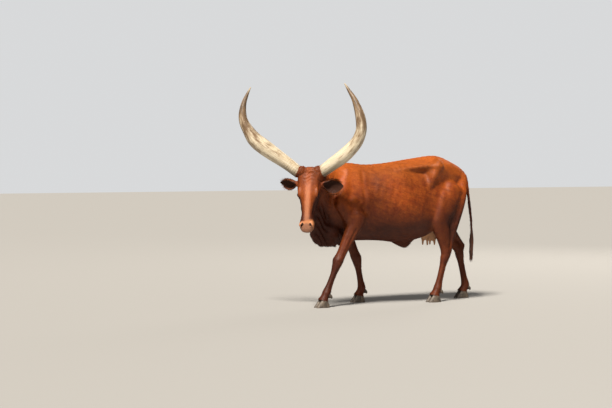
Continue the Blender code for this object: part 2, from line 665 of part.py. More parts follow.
def make_claw(name, joints, side):
    """One claw of a foot, flat on the floor, cut square to the coronet."""
    x, y, _ = ankle_point(joints)
    shift = side * (CLAW_WIDTH / 2 + CLAW_SPLIT / 2)
    heel, height = x - HEEL_BEHIND, CORONET_HEIGHT + 0.035
    top_length = CLAW_LENGTH - height / math.tan(TOE_ANGLE) - HEEL_LEAN
    sole, top = [], []
    for share, half in CLAW_OUTLINE:
        sole.append((heel + CLAW_LENGTH * share, half * CLAW_WIDTH / 2))
        top.append((heel + HEEL_LEAN + top_length * share, half * CLAW_WIDTH / 2 * CLAW_TOP_WIDTH))
    work = bmesh.new()

    def loop(rows, z):
        """One outline of the claw at a height."""
        inner = [(px, y + shift - side * half, z) for px, half in rows]
        outer = [(px, y + shift + side * half, z) for px, half in reversed(rows)]
        return [work.verts.new(point) for point in inner + outer]

    lower, upper = loop(sole, 0.0), loop(top, height)
    for index, vertex in enumerate(lower):
        after = (index + 1) % len(lower)
        work.faces.new((vertex, lower[after], upper[after], upper[index]))
    work.faces.new(list(reversed(lower)))
    work.faces.new(upper)
    bmesh.ops.recalc_face_normals(work, faces=work.faces)
    mesh = bpy.data.meshes.new(name)
    work.to_mesh(mesh)
    work.free()
    claw = bpy.data.objects.new(name, mesh)
    bpy.context.scene.collection.objects.link(claw)
    facing = Vector(coronet_facing())
    top_cut = slab(ankle_point(joints), -facing, reach=0.5, thickness=0.3)
    combine(claw, top_cut, "DIFFERENCE")
    edge = claw.modifiers.new("Rounded edges", "BEVEL")
    edge.width = 0.0035
    edge.segments = 1
    edge.limit_method = "ANGLE"
    edge.angle_limit = math.radians(50)
    settle(claw)
    keep_largest(claw)
    return claw


def skull_loft():
    """Cranium and upper jaw in the head's own frame."""
    stations = []
    for distance, half, brow, under in SKULL:
        middle = (brow + under) / 2
        stations.append((distance, 0.0, middle, half, brow - middle, middle - under))
    return loft(stations, power=2.35, sides=24)


def lid_path(side, upper):
    """Middle line of a lid round the eye, in the head's own frame."""
    look = Vector((EYE_LOOK[0], EYE_LOOK[1] * side, EYE_LOOK[2])).normalized()
    along = Vector((1.0, 0.0, 0.0))
    along = (along - look * along.dot(look)).normalized()
    over = along.cross(look) * side
    middle = Vector((EYE[0], EYE[1] * side, EYE[2]))
    points = []
    for step in range(9):
        angle = math.pi * step / 8
        rise = (LID_OPENING if upper else -LID_OPENING * 0.7) * math.sin(angle)
        reach = EYE_RADIUS * 0.93 * math.cos(angle)
        ahead = math.sqrt(max(0.0, (EYE_RADIUS + 0.001) ** 2 - reach ** 2 - rise ** 2))
        points.append(tuple(middle + along * reach + over * rise + look * ahead))
    return points


def head_shapes():
    """All of the head's flesh, in the head's own frame."""
    shapes = [skull_loft()]
    shapes.append(ball((0.515, 0.0, -0.112), (0.036, 0.042, 0.020)))
    shapes.append(ball((0.300, 0.0, -0.128), (0.130, 0.038, 0.045)))
    shapes.append(ball((0.030, 0.0, -0.040), (0.048, 0.055, 0.036)))
    for side in (LEFT, RIGHT):
        jaw = [(d, w * side, v, half, tall, tall) for d, w, v, half, tall in JAW]
        shapes.append(loft(jaw))
        shapes.append(ball((CHEEK[0], CHEEK[1] * side, CHEEK[2]), CHEEK_SIZE))
        shapes.append(ball((BROW[0], BROW[1] * side, BROW[2]), BROW_SIZE))
        shapes.append(ball((HORN_BED[0], HORN_BED[1] * side, HORN_BED[2]), HORN_BED_SIZE))
        shapes.append(ball((EYE[0] + 0.004, EYE[1] * side * 0.93, EYE[2] - 0.012), (0.040, 0.021, 0.033)))
        crest = (FACIAL_CREST[0], FACIAL_CREST[1] * side, FACIAL_CREST[2])
        shapes.append(ball(crest, (0.065, 0.016, 0.016)))
        shapes.append(ball((NOSE_WING[0], NOSE_WING[1] * side, NOSE_WING[2]), (0.036, 0.026, 0.026)))
        for upper in (True, False):
            thick = LID_THICKNESS if upper else LID_THICKNESS * 0.85
            path = [(*point, thick, thick, thick) for point in lid_path(side, upper)]
            shapes.append(loft(path, lateral=(0.0, 0.4 * side, 0.9), sides=8, steps=1))
        root = Vector((EAR_ROOT[0], EAR_ROOT[1] * side, EAR_ROOT[2]))
        shapes.append(ball(root - Vector((0.0, 0.012 * side, 0.0)), (0.036, 0.030, 0.032)))
    return shapes


def horn_stations(name):
    """Cross-sections of a horn in the world."""
    side = SIDES[name]
    stations = []
    for out, up, forward, radius in HORN_PATHS[name]:
        point = Vector(POLL) + turned_frame(out, up, forward, side)
        stations.append((*point, radius, radius, radius))
    return stations


def ear_frame(name):
    """Root, direction to the tip, direction of the cup's opening, and width direction of an ear."""
    side = SIDES[name]
    root = head_matrix() @ Vector((EAR_ROOT[0], EAR_ROOT[1] * side, EAR_ROOT[2]))
    along = turned_frame(*EAR_POSE[name][0], side).normalized()
    opening = turned_frame(*EAR_POSE[name][1], side)
    opening = (opening - along * opening.dot(along)).normalized()
    return root, along, opening, opening.cross(along)


def mouth_path(head, place):
    """Points on the skin along the line of the mouth, from one corner round the muzzle to the other."""
    skin = BVHTree.FromPolygons([vertex.co[:] for vertex in head.data.vertices],
                                [face.vertices[:] for face in head.data.polygons])
    rays = []
    for step in range(4):
        along = MOUTH_CORNER[0] + (MOUTH_TURN - MOUTH_CORNER[0]) * step / 4
        drop = MOUTH_CORNER[1] + (MOUTH_FRONT - MOUTH_CORNER[1]) * step / 4
        rays.append((Vector((along, 0.0, drop)), Vector((0.0, 1.0, 0.0))))
    for step in range(7):
        angle = math.pi / 2 * (1 - step / 6)
        rays.append((Vector((MOUTH_TURN, 0.0, MOUTH_FRONT)), Vector((math.cos(angle), math.sin(angle), 0.0))))
    half = []
    for start, way in rays:
        hit = skin.ray_cast(place @ start, place.to_3x3() @ way)[0]
        half.append(place.inverted() @ hit)
    other = [Vector((point.x, -point.y, point.z)) for point in reversed(half[:-1])]
    return [place @ point for point in half + other]


def make_head():
    """The head, with its stubs for the horns and ears, parted from the neck."""
    place = head_matrix()
    shapes = [moved(shape, place) for shape in head_shapes()]
    shapes.append(loft(NECK[2:], lateral=NECK_LATERAL, power=2.1, sides=24))
    shapes.append(loft(NAPE, lateral=NECK_LATERAL))
    for name in SIDES:
        horn = horn_stations(name)
        shapes.append(loft(horn[:HORN_START + 2], lateral=(0.0, 0.0, 1.0)))
        root, along, opening, width = ear_frame(name)
        tube = EAR_SECTIONS[0]
        stub = [(*(root - along * 0.02), 0.030, 0.030, 0.030),
                (*(root + along * (EAR_STUB + 0.02)), tube[1], tube[2], tube[2])]
        shapes.append(loft(stub, lateral=width, steps=4))
    head = fuse(new_object("head", shapes), HEAD_VOXEL, 3)
    thin_out(head, HEAD_TRIANGLES)
    combine(head, slab(*HEAD_CUT, reach=0.9, thickness=0.9), "INTERSECT")
    groove = [(*point, MOUTH_GROOVE, MOUTH_GROOVE, MOUTH_GROOVE) for point in mouth_path(head, place)]
    line = loft(groove, lateral=place.to_3x3() @ Vector((0.0, 0.0, 1.0)), sides=5, steps=1)
    combine(head, new_object("Mouth", [line]), "DIFFERENCE")
    for name, side in SIDES.items():
        horn = horn_stations(name)
        base, after = Vector(horn[HORN_START][:3]), Vector(horn[HORN_START + 1][:3])
        combine(head, slab(base, after - base, reach=0.14, thickness=0.3, grow=GAP), "DIFFERENCE")
        root, along, _, _ = ear_frame(name)
        ear_cut = slab(root + along * EAR_STUB, along, reach=0.075, thickness=0.2, grow=GAP)
        combine(head, ear_cut, "DIFFERENCE")
        eye = place @ Vector((EYE[0], EYE[1] * side, EYE[2]))
        socket = ball(eye, (EYE_RADIUS + GAP * 2,) * 3, rings=8)
        combine(head, new_object("Socket", [socket]), "DIFFERENCE")
        nostril = ball((NOSTRIL[0], NOSTRIL[1] * side, NOSTRIL[2]), NOSTRIL_SIZE, rings=6)
        combine(head, new_object("Nostril", [moved(nostril, place)]), "DIFFERENCE")
    return head


def make_eye(name, side):
    """Eyeball, seated in its socket."""
    middle = head_matrix() @ Vector((EYE[0], EYE[1] * side, EYE[2]))
    return new_object(name, [ball(middle, (EYE_RADIUS,) * 3, rings=8)])


def make_horn(name, label):
    """One horn, from its base on the head to its tip."""
    rows = smooth_rows(horn_stations(name), 2)[HORN_START * 2:]
    stations = [tuple(row) for row in rows]
    horn = new_object(label, [loft(stations, lateral=(0.2, 0.1, 0.97), sides=HORN_SIDES, steps=1,
                                   rounded=False)])
    base, after = Vector(horn_stations(name)[HORN_START][:3]), Vector(horn_stations(name)[HORN_START + 1][:3])
    return combine(horn, slab(base, base - after, reach=0.3, thickness=0.2), "DIFFERENCE")


def make_ear(name, label):
    """One ear, a leaf with its cup hollowed out."""
    root, along, opening, width = ear_frame(name)
    base = root + along * EAR_STUB
    leaf, hollow = [], []
    for share, half, thick in EAR_SECTIONS:
        swell = math.sin(math.pi * share)
        middle = base + along * (EAR_LENGTH[name] * share) - opening * (0.010 * swell)
        middle.z -= EAR_BELLY * swell
        half *= EAR_SPREAD[name] if share > 0 else 1.0
        leaf.append((*middle, half, thick, thick * 0.85))
        if share > 0.1:
            inner = middle + opening * (EAR_WALL * 1.3)
            hollow.append((*inner, half - EAR_WALL, thick, max(0.002, thick * 0.85 - EAR_WALL * 0.6)))
    ear = new_object(label, [loft(leaf, lateral=width, sides=12, steps=1)])
    cup = new_object("Cup", [loft(hollow[:-1], lateral=width, sides=10, steps=1)])
    combine(ear, slab(base, -along, reach=0.2, thickness=0.1), "DIFFERENCE")
    return combine(ear, cup, "DIFFERENCE")


def make_tail(label):
    """Tail from its root to where its bones end."""
    point, facing = tail_cut()
    tail = new_object(label, [loft(tail_stations(0, len(TAIL)), sides=10, steps=3)])
    combine(tail, slab(point, facing, reach=0.3, thickness=1.2), "INTERSECT")
    point, facing = switch_cut()
    return combine(tail, slab(point, facing, reach=0.3, thickness=1.0, grow=GAP), "DIFFERENCE")


def switch_cut():
    """Where the tail's hair begins to hang free, and the way that the tail runs there."""
    rows = smooth_rows(TAIL, 8)
    index = int(np.argmin(np.abs(rows[:, 2] - SWITCH_TOP)))
    point, after = Vector(rows[index, :3]), Vector(rows[index + 1, :3])
    return point, after - point


def lock_shape(index):
    """One flat tapered lock of the tail's hair, rooted in the core and bending past its neighbours."""
    share = index / (SWITCH_LOCKS - 1)
    x, y = TAIL[-1][0], TAIL[-1][1]
    root = SWITCH_TOP - 0.005 - 0.115 * share
    tip = SWITCH_BOTTOM + 0.100 * (1 - share) + 0.020 * (index % 3)
    stations = []
    for step, width in enumerate(LOCK_WIDTHS):
        along = step / (len(LOCK_WIDTHS) - 1)
        angle = LOCK_TURN * index + 0.9 * along
        reach = 0.004 + 0.009 * math.sin(math.pi * min(1.0, 1.1 * along))
        middle = (x + reach * math.cos(angle) + 0.002, y + reach * math.sin(angle), root + (tip - root) * along)
        stations.append((*middle, width, width * LOCK_THINNESS, width * LOCK_THINNESS))
    angle = LOCK_TURN * index
    return loft(stations, lateral=(-math.sin(angle), math.cos(angle), 0.0), sides=4, steps=1, rounded=False)


def join_group(thing, shapes, solver):
    """Add several shapes to a thing in one union and drop their objects."""
    group = bpy.data.collections.new("Locks")
    bpy.context.scene.collection.children.link(group)
    for shape in shapes:
        lock = new_object("Lock", [shape])
        bpy.context.scene.collection.objects.unlink(lock)
        group.objects.link(lock)
    union = thing.modifiers.new("Join locks", "BOOLEAN")
    union.operation = "UNION"
    union.operand_type = "COLLECTION"
    union.solver = solver
    union.collection = group
    settle(thing)
    for lock in list(group.objects):
        discard(lock)
    bpy.data.collections.remove(group)
    keep_largest(thing)
    return thing


def make_switch(label):
    """Hair at the tail's end: a short core with locks that bend and overlap round it."""
    x, y = TAIL[-1][0], TAIL[-1][1]
    rows = [(TAIL[-3][0], TAIL[-3][1], TAIL[-3][2], 0.0135), (TAIL[-2][0], TAIL[-2][1], TAIL[-2][2], 0.0140),
            (x - 0.001, y, 0.520, 0.0110), (x, y, SWITCH_CORE_END, 0.0050)]
    stations = [(px, py, pz, radius, radius, radius) for px, py, pz, radius in rows]
    switch = new_object(label, [loft(stations, sides=10, steps=2)])
    join_group(switch, [lock_shape(index) for index in range(SWITCH_LOCKS)], "EXACT")
    point, facing = switch_cut()
    return combine(switch, slab(point, facing, reach=0.3, thickness=1.0), "INTERSECT")


def tail_cut():
    """Where the tail leaves the trunk, and the way that it goes there."""
    point, after = Vector(TAIL[TAIL_SPLIT][:3]), Vector(TAIL[TAIL_SPLIT + 1][:3])
    return point, after - point


def finish(thing, name, colour, roughness):
    """Give an object its own plain material and smooth shading, and its origin in its middle."""
    material = bpy.data.materials.new(name)
    material.use_nodes = True
    shader = material.node_tree.nodes["Principled BSDF"]
    shader.inputs["Base Color"].default_value = (*colour, 1.0)
    shader.inputs["Roughness"].default_value = roughness
    shader.inputs["Metallic"].default_value = 0.0
    thing.data.materials.clear()
    thing.data.materials.append(material)
    thing.data.shade_smooth()
    thing.data.set_sharp_from_angle(angle=math.radians(40))
    low, high = extent([thing])
    middle = (low + high) / 2
    thing.data.transform(Matrix.Translation(-middle))
    thing.location = middle


def extent(things):
    """Lowest and highest corner of the box round some objects."""
    bpy.context.view_layer.update()
    points = [thing.matrix_world @ vertex.co for thing in things for vertex in thing.data.vertices]
    rows = np.array([point[:] for point in points])
    return Vector(rows.min(axis=0)), Vector(rows.max(axis=0))


def stand_at_origin():
    """Hang all parts on one empty, which puts the middle of the cow's box over the origin."""
    parts = [thing for thing in bpy.data.objects if thing.type == "MESH"]
    low, high = extent(parts)
    cow = bpy.data.objects.new("cow", None)
    bpy.context.scene.collection.objects.link(cow)
    for thing in parts:
        thing.parent = cow
    cow.location = (-(low.x + high.x) / 2, -(low.y + high.y) / 2, -low.z)


def build():
    """Model the whole cow."""
    for old in list(bpy.data.objects):
        bpy.data.objects.remove(old, do_unlink=True)
    body = make_body()
    coat, horn_colour, claw_colour = (0.26, 0.075, 0.024), (0.72, 0.64, 0.50), (0.035, 0.028, 0.024)
    for name in SIDES:
        for kind, table in (("fore", FORE_JOINTS), ("hind", HIND_JOINTS)):
            label = f"leg_{kind}_{name}"
            leg = make_leg(body, label, table[name], kind)
            finish(leg, label, coat, 0.7)
            for claw_side, word in ((LEFT, "left"), (RIGHT, "right")):
                claw_label = f"claw_{kind}_{name}_{word}"
                finish(make_claw(claw_label, table[name], claw_side), claw_label, claw_colour, 0.5)
    for name in SIDES:
        for kind, table in (("fore", FORE_JOINTS), ("hind", HIND_JOINTS)):
            combine(body, leg_cell(table[name], kind, grow=GAP), "DIFFERENCE")
    neck = copy_of(body, "neck")
    combine(neck, slab(*NECK_CUT), "INTERSECT")
    combine(neck, slab(*HEAD_CUT, reach=0.9, thickness=0.9, grow=GAP), "DIFFERENCE")
    finish(neck, "neck", coat, 0.7)
    combine(body, slab(*NECK_CUT, grow=GAP), "DIFFERENCE")
    point, facing = tail_cut()
    combine(body, slab(point, facing, reach=0.09, thickness=0.3, grow=GAP), "DIFFERENCE")
    body.name = "torso"
    finish(body, "torso", coat, 0.7)
    finish(make_tail("tail"), "tail", coat, 0.7)
    finish(make_switch("tail_switch"), "tail_switch", (0.06, 0.03, 0.02), 0.7)
    finish(make_head(), "head", coat, 0.7)
    for name, side in SIDES.items():
        finish(make_eye(f"eye_{name}", side), f"eye_{name}", (0.01, 0.007, 0.005), 0.1)
        finish(make_horn(name, f"horn_{name}"), f"horn_{name}", horn_colour, 0.45)
        finish(make_ear(name, f"ear_{name}"), f"ear_{name}", coat, 0.7)


build()
stand_at_origin()
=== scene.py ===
"""Ankole watusi cow, the dressed life-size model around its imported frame.

The cow walks along +X with its left side towards +Y and turns its head to its left. One skin
stands for all the flesh, a short coat of fine tufts lies over it, and horns, eyes and claws are
pieces of their own.
"""

import logging
import math
from collections.abc import Iterator
from contextlib import contextmanager
from dataclasses import dataclass, field
from enum import Enum

import bmesh
import bpy
import numpy as np
from mathutils import Matrix, Vector
from mathutils.bvhtree import BVHTree

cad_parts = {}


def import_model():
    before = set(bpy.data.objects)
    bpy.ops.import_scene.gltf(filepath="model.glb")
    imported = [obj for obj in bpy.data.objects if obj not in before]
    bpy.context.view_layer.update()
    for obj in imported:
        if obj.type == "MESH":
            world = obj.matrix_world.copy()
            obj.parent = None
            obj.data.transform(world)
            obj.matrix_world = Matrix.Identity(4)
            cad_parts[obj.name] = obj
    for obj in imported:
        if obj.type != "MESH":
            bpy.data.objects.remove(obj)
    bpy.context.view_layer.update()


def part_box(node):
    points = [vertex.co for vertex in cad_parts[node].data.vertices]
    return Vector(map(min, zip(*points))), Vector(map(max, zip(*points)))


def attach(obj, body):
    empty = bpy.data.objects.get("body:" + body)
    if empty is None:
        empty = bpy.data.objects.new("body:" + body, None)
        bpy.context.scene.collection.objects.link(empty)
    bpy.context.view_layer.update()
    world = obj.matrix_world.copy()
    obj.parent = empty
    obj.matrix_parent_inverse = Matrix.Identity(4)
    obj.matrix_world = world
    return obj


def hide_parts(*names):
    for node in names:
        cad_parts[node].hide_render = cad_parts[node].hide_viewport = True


LOG = logging.getLogger("cow")
Thing = bpy.types.Object
Socket = bpy.types.NodeSocket
Shape = tuple[np.ndarray, list[tuple[int, ...]]]
Row = tuple[float, ...]
SIDES: dict[str, int] = {"left": 1, "right": -1}
ROOT = "root"
BAKE_MAP = "OFBake"
# Height of a tube's domed ends as a share of their radius
DOME = 0.55


class Slot(Enum):
    """Kinds of material of the pieces."""

    COAT = "coat"
    HORN = "horn"
    CLAW = "claw"
    EYE = "eye"
    HAIR = "switch_hair"


def unit(vectors: np.ndarray) -> np.ndarray:
    """Rows of an array brought to length one."""
    return vectors / np.maximum(np.linalg.norm(vectors, axis=-1, keepdims=True), 1e-9)


def smooth_rows(rows: np.ndarray, steps: int) -> np.ndarray:
    """Rows along a smooth curve through the given rows.

    Args:
        rows: the rows that the curve passes through.
        steps: how many rows it gets for each span.

    Returns:
        The denser rows.
    """
    rows = np.array(rows, dtype=float)
    padded = np.vstack([2 * rows[0] - rows[1], rows, 2 * rows[-1] - rows[-2]])
    curve = []
    for before, start, end, after in zip(padded, padded[1:], padded[2:], padded[3:]):
        for step in range(steps):
            t = step / steps
            curve.append(0.5 * (2 * start + (end - before) * t
                                + (2 * before - 5 * start + 4 * end - after) * t * t
                                + (3 * start - 3 * end + after - before) * t ** 3))
    curve.append(rows[-1])
    return np.array(curve)


def between(start: Row, end: Row, share: float) -> Row:
    """Point at a share of the way from one point to another."""
    return tuple(a + (b - a) * share for a, b in zip(start, end))


def flipped(rows: object, side: int) -> np.ndarray:
    """Points or stations on the left side as they are, or taken to the right side.

    Args:
        rows: points or stations with y second.
        side: 1 for the left and -1 for the right.

    Returns:
        The rows as an array.
    """
    out = np.array(rows, dtype=float)
    out[..., 1] *= side
    return out


def fade(values: np.ndarray, low: float, high: float) -> np.ndarray:
    """Smooth rise from 0 at one value to 1 at another.

    Args:
        values: the values to grade.
        low: where the result is 0.
        high: where the result is 1.

    Returns:
        Numbers from 0 to 1.
    """
    t = np.clip((values - low) / (high - low), 0.0, 1.0)
    return t * t * (3 - 2 * t)


def path_distance(points: np.ndarray, path: object) -> np.ndarray:
    """Distance of each point from a bent line.

    Args:
        points: rows of x, y, z.
        path: the line's own points in order.

    Returns:
        One distance for each point.
    """
    line = np.array(path, dtype=float)[:, :3]
    best = np.full(len(points), 1e9)
    for start, end in zip(line, line[1:]):
        run = end - start
        share = np.clip(((points - start) @ run) / max(run @ run, 1e-12), 0, 1)
        gap = points - (start + share[:, None] * run)
        best = np.minimum(best, np.einsum("ij,ij->i", gap, gap))
    return np.sqrt(best)


def band_faces(rows: int, count: int, closed: bool = True) -> list[tuple[int, ...]]:
    """Faces between the rings of a tube, or between the rows of an open sheet.

    Args:
        rows: how many rings or rows there are.
        count: points in each.
        closed: whether the last point of a row meets the first.

    Returns:
        Four point numbers for each face.
    """
    faces = []
    for row in range(rows - 1):
        for step in range(count if closed else count - 1):
            a, b = row * count + step, row * count + (step + 1) % count
            faces.append((a, b, b + count, a + count))
    return faces


def loft(stations: object, lateral: Row = (0.0, 1.0, 0.0), power: float = 2.0, taper: float = 0.0,
         sides: int = 24, steps: int = 4, rounded: bool = True) -> Shape:
    """Closed tube through stations of x, y, z, half width, reach over and reach under.

    Over is the tangent crossed with the lateral direction: up on a part that runs forward, and
    forward on one that runs down.

    Args:
        stations: the cross-sections in order.
        lateral: the direction of the half widths.
        power: 2 gives ellipses, and more gives fuller corners.
        taper: how much narrower the over side is than the under side.
        sides: points round the tube.
        steps: rings for each span.
        rounded: whether the ends get domes.

    Returns:
        The tube's points and faces.
    """
    rows = smooth_rows(stations, steps)
    centres, radii = rows[:, :3], np.maximum(rows[:, 3:6], 0.00012)
    along = unit(np.gradient(centres, axis=0))
    aside = np.array(lateral, dtype=float)
    across = unit(aside - along * (along @ aside)[:, None])
    over = np.cross(along, across)
    angles = np.arange(sides) * 2 * math.pi / sides
    cosine, sine = np.cos(angles), np.sin(angles)
    wide = np.sign(cosine) * np.abs(cosine) ** (2 / power) * (1 - taper * sine)
    tall = np.sign(sine) * np.abs(sine) ** (2 / power)

    def ring(index: int, share: float = 1.0, shift: float = 0.0) -> np.ndarray:
        """One cross-section, drawn in by a share and moved along the tube.

        Args:
            index: which row of the curve.
            share: share of its size.
            shift: way along the tube in metres.

        Returns:
            The ring's points.
        """
        half, up, down = radii[index] * share
        reach = np.where(tall > 0, up, down)
        middle = centres[index] + along[index] * shift
        return middle + np.outer(wide * half, across[index]) + np.outer(tall * reach, over[index])

    bulge = [DOME * radii[0].min(), DOME * radii[-1].min()] if rounded else [0.0, 0.0]
    rings = [ring(index) for index in range(len(rows))]
    if rounded:
        rings = [ring(0, 0.5, -0.87 * bulge[0]), ring(0, 0.87, -0.5 * bulge[0]), *rings,
                 ring(-1, 0.87, 0.5 * bulge[1]), ring(-1, 0.5, 0.87 * bulge[1])]
    ends = [centres[0] - along[0] * bulge[0], centres[-1] + along[-1] * bulge[1]]
    faces = band_faces(len(rings), sides)
    last = (len(rings) - 1) * sides
    for side in range(sides):
        after = (side + 1) % sides
        faces.append((last + sides, after, side))
        faces.append((last + sides + 1, last + side, last + after))
    return np.vstack(rings + ends), faces


def tube(points: object, *sizes: Row, **options: object) -> Shape:
    """Loft through points, with one half width, reach over and reach under for each or for all.

    Args:
        points: the middles of the cross-sections in order.
        sizes: the sizes at each point, or one size for all of them.
        options: further values for the loft.

    Returns:
        The tube's points and faces.
    """
    sizes = sizes * len(points) if len(sizes) == 1 else sizes
    return loft([(*point, *size) for point, size in zip(points, sizes)], **options)


def pipe(rows: object, **options: object) -> Shape:
    """Round loft through rows of x, y, z and radius."""
    return loft([(x, y, z, radius, radius, radius) for x, y, z, radius in rows], **options)


def ball(middle: object, size: Row, rings: int = 16) -> Shape:
    """Ellipsoid of half sizes round a middle.

    Args:
        middle: its centre.
        size: its three half sizes.
        rings: bands from pole to pole.

    Returns:
        The ellipsoid's points and faces.
    """
    work = bmesh.new()
    bmesh.ops.create_uvsphere(work, u_segments=2 * rings, v_segments=rings, radius=1.0)
    points = np.array([vertex.co[:] for vertex in work.verts]) * np.array(size) + np.array(middle)
    faces = [tuple(vertex.index for vertex in face.verts) for face in work.faces]
    work.free()
    return points, faces


def carried(shape: Shape, place: Matrix) -> Shape:
    """A shape taken through a matrix."""
    points, faces = shape
    return points @ np.array(place.to_3x3()).T + np.array(place.translation), faces


def linked(name: str, data: bpy.types.ID) -> Thing:
    """New object in the scene, around its data.

    Args:
        name: the object's name.
        data: its mesh, curve, light or camera.

    Returns:
        The object.
    """
    thing = bpy.data.objects.new(name, data)
    bpy.context.scene.collection.objects.link(thing)
    return thing


def new_piece(name: str, shapes: list[Shape]) -> Thing:
    """One mesh object at the origin that holds the given shapes.

    Args:
        name: the object's name.
        shapes: points and faces of each shape.

    Returns:
        The object, linked to the scene.
    """
    points, faces, first = [], [], 0
    for shape_points, shape_faces in shapes:
        points.append(shape_points)
        faces += [tuple(first + index for index in face) for face in shape_faces]
        first += len(shape_points)
    mesh = bpy.data.meshes.new(name)
    mesh.from_pydata(np.vstack(points).tolist(), [], faces)
    mesh.update()
    return linked(name, mesh)


def baked_mesh(thing: Thing) -> bpy.types.Mesh:
    """Plain mesh of an object as its modifiers leave it.

    Args:
        thing: the object to read.

    Returns:
        The mesh.
    """
    bpy.context.view_layer.update()
    graph = bpy.context.evaluated_depsgraph_get()
    return bpy.data.meshes.new_from_object(thing.evaluated_get(graph), preserve_all_data_layers=True,
                                           depsgraph=graph)


def settle(piece: Thing) -> Thing:
    """Bake a piece's modifiers into a plain mesh and remove them.

    Args:
        piece: the piece with its modifiers.

    Returns:
        The piece.
    """
    mesh = baked_mesh(piece)
    piece.modifiers.clear()
    piece.data = mesh
    return piece


def discard(piece: Thing) -> None:
    """Take a helper object out of the scene."""
    bpy.data.objects.remove(piece, do_unlink=True)


def modified(piece: Thing, kind: str, **settings: object) -> Thing:
    """A piece after one modifier of a kind with its settings, as a plain mesh again.

    Args:
        piece: the piece to change.
        kind: Blender's name of the modifier type.
        settings: the modifier's own properties.

    Returns:
        The piece.
    """
    modifier = piece.modifiers.new(kind.title(), kind)
    for name, value in settings.items():
        setattr(modifier, name, value)
    return settle(piece)


def weld(piece: Thing, voxel: float) -> Thing:
    """Fuse overlapping shapes into one closed surface of a given fineness."""
    return modified(piece, "REMESH", mode="VOXEL", voxel_size=voxel)


def soften(piece: Thing, rounds: int, chosen: np.ndarray | None = None) -> Thing:
    """Smooth a surface by a number of rounds.

    Args:
        piece: the surface.
        rounds: how often it is smoothed.
        chosen: which points take part, or all of them.

    Returns:
        The piece.
    """
    limits = {}
    if chosen is not None:
        group = piece.vertex_groups.new(name="chosen")
        group.add(np.flatnonzero(chosen).tolist(), 1.0, "REPLACE")
        limits["vertex_group"] = group.name
    modified(piece, "SMOOTH", factor=0.5, iterations=rounds, **limits)
    piece.vertex_groups.clear()
    return piece


def thin_out(piece: Thing, triangles: int) -> Thing:
    """Reduce a mesh to about a number of triangles, keeping its detail where it bends most."""
    modified(piece, "TRIANGULATE")
    return modified(piece, "DECIMATE", ratio=min(1.0, triangles / len(piece.data.polygons)))


def carve(piece: Thing, tool: Thing) -> None:
    """Cut a tool's volume out of a piece and drop the tool."""
    modified(piece, "BOOLEAN", operation="DIFFERENCE", solver="EXACT", object=tool)
    discard(tool)


@contextmanager
def opened(piece: Thing) -> Iterator[bmesh.types.BMesh]:
    """A piece's mesh open for edits, written back at the end.

    Args:
        piece: the piece to edit.

    Returns:
        A context that holds the open mesh.
    """
    work = bmesh.new()
    work.from_mesh(piece.data)
    yield work
    work.to_mesh(piece.data)
    work.free()


def face_outwards(piece: Thing, merge: float | None = None) -> None:
    """Turn all faces outwards, after a merge of points closer than a distance.

    Args:
        piece: the piece to turn.
        merge: distance within which points become one, or none.
    """
    with opened(piece) as work:
        if merge is not None:
            bmesh.ops.remove_doubles(work, verts=work.verts, dist=merge)
        bmesh.ops.recalc_face_normals(work, faces=work.faces)


def keep_values(piece: Thing, name: str, values: np.ndarray) -> None:
    """Store a number or a vector for each point of a piece as an attribute.

    Args:
        piece: the piece that gets the attribute.
        name: the attribute's name.
        values: one number or one row of three for each point.
    """
    kind, key = ("FLOAT_VECTOR", "vector") if values.ndim == 2 else ("FLOAT", "value")
    attribute = piece.data.attributes.new(name, kind, "POINT")
    attribute.data.foreach_set(key, values.astype(np.float32).ravel())


def corner_points(mesh: bpy.types.Mesh) -> np.ndarray:
    """Index of the point at each corner of a mesh's faces.

    Args:
        mesh: the mesh to read.

    Returns:
        One index for each corner.
    """
    corners = np.empty(len(mesh.loops), dtype=np.int32)
    mesh.loops.foreach_get("vertex_index", corners)
    return corners


class Sculpt:
    """Moves the points of a mesh along their normals."""

    def __init__(self, piece: Thing) -> None:
        """Read a piece's points and normals.

        Args:
            piece: the piece to model.
        """
        self.piece = piece
        count = len(piece.data.vertices)
        self.points = np.empty(count * 3, dtype=np.float32)
        piece.data.vertices.foreach_get("co", self.points)
        self.points = self.points.reshape(-1, 3).astype(float)
        self.read_normals()

    def read_normals(self) -> None:
        """Take the normals of the mesh as it is now."""
        normals = np.empty(len(self.points) * 3, dtype=np.float32)
        self.piece.data.vertices.foreach_get("normal", normals)
        self.normals = normals.reshape(-1, 3).astype(float)

    def raise_by(self, height: np.ndarray) -> None:
        """Lift each point along its normal by its own height."""
        self.points += self.normals * height[:, None]

    def dent(self, middle: object, reach: Row, depth: float) -> None:
        """Press a soft hollow in, or raise a swelling with a negative depth."""
        away = (((self.points - np.array(middle)) / np.array(reach)) ** 2).sum(axis=1)
        self.raise_by(-depth * np.exp(-away))

    def groove(self, path: object, width: float, depth: float) -> None:
        """Press a groove along a bent line, or raise a ridge with a negative depth."""
        away = path_distance(self.points, path) / width
        self.raise_by(-depth * np.exp(-away * away))

    def both_sides(self, hollows: tuple, grooves: tuple) -> None:
        """Press tables of hollows and grooves in on the left and on the right.

        Args:
            hollows: rows of middle, reach and depth.
            grooves: rows of path, width and depth.
        """
        for side in SIDES.values():
            for middle, reach, depth in hollows:
                self.dent(flipped(middle, side), reach, depth)
            for path, width, depth in grooves:
                self.groove(flipped(path, side), width, depth)

    def write(self) -> None:
        """Put the moved points back and refresh the normals."""
        self.piece.data.vertices.foreach_set("co", self.points.astype(np.float32).ravel())
        self.piece.data.update()
        self.read_normals()


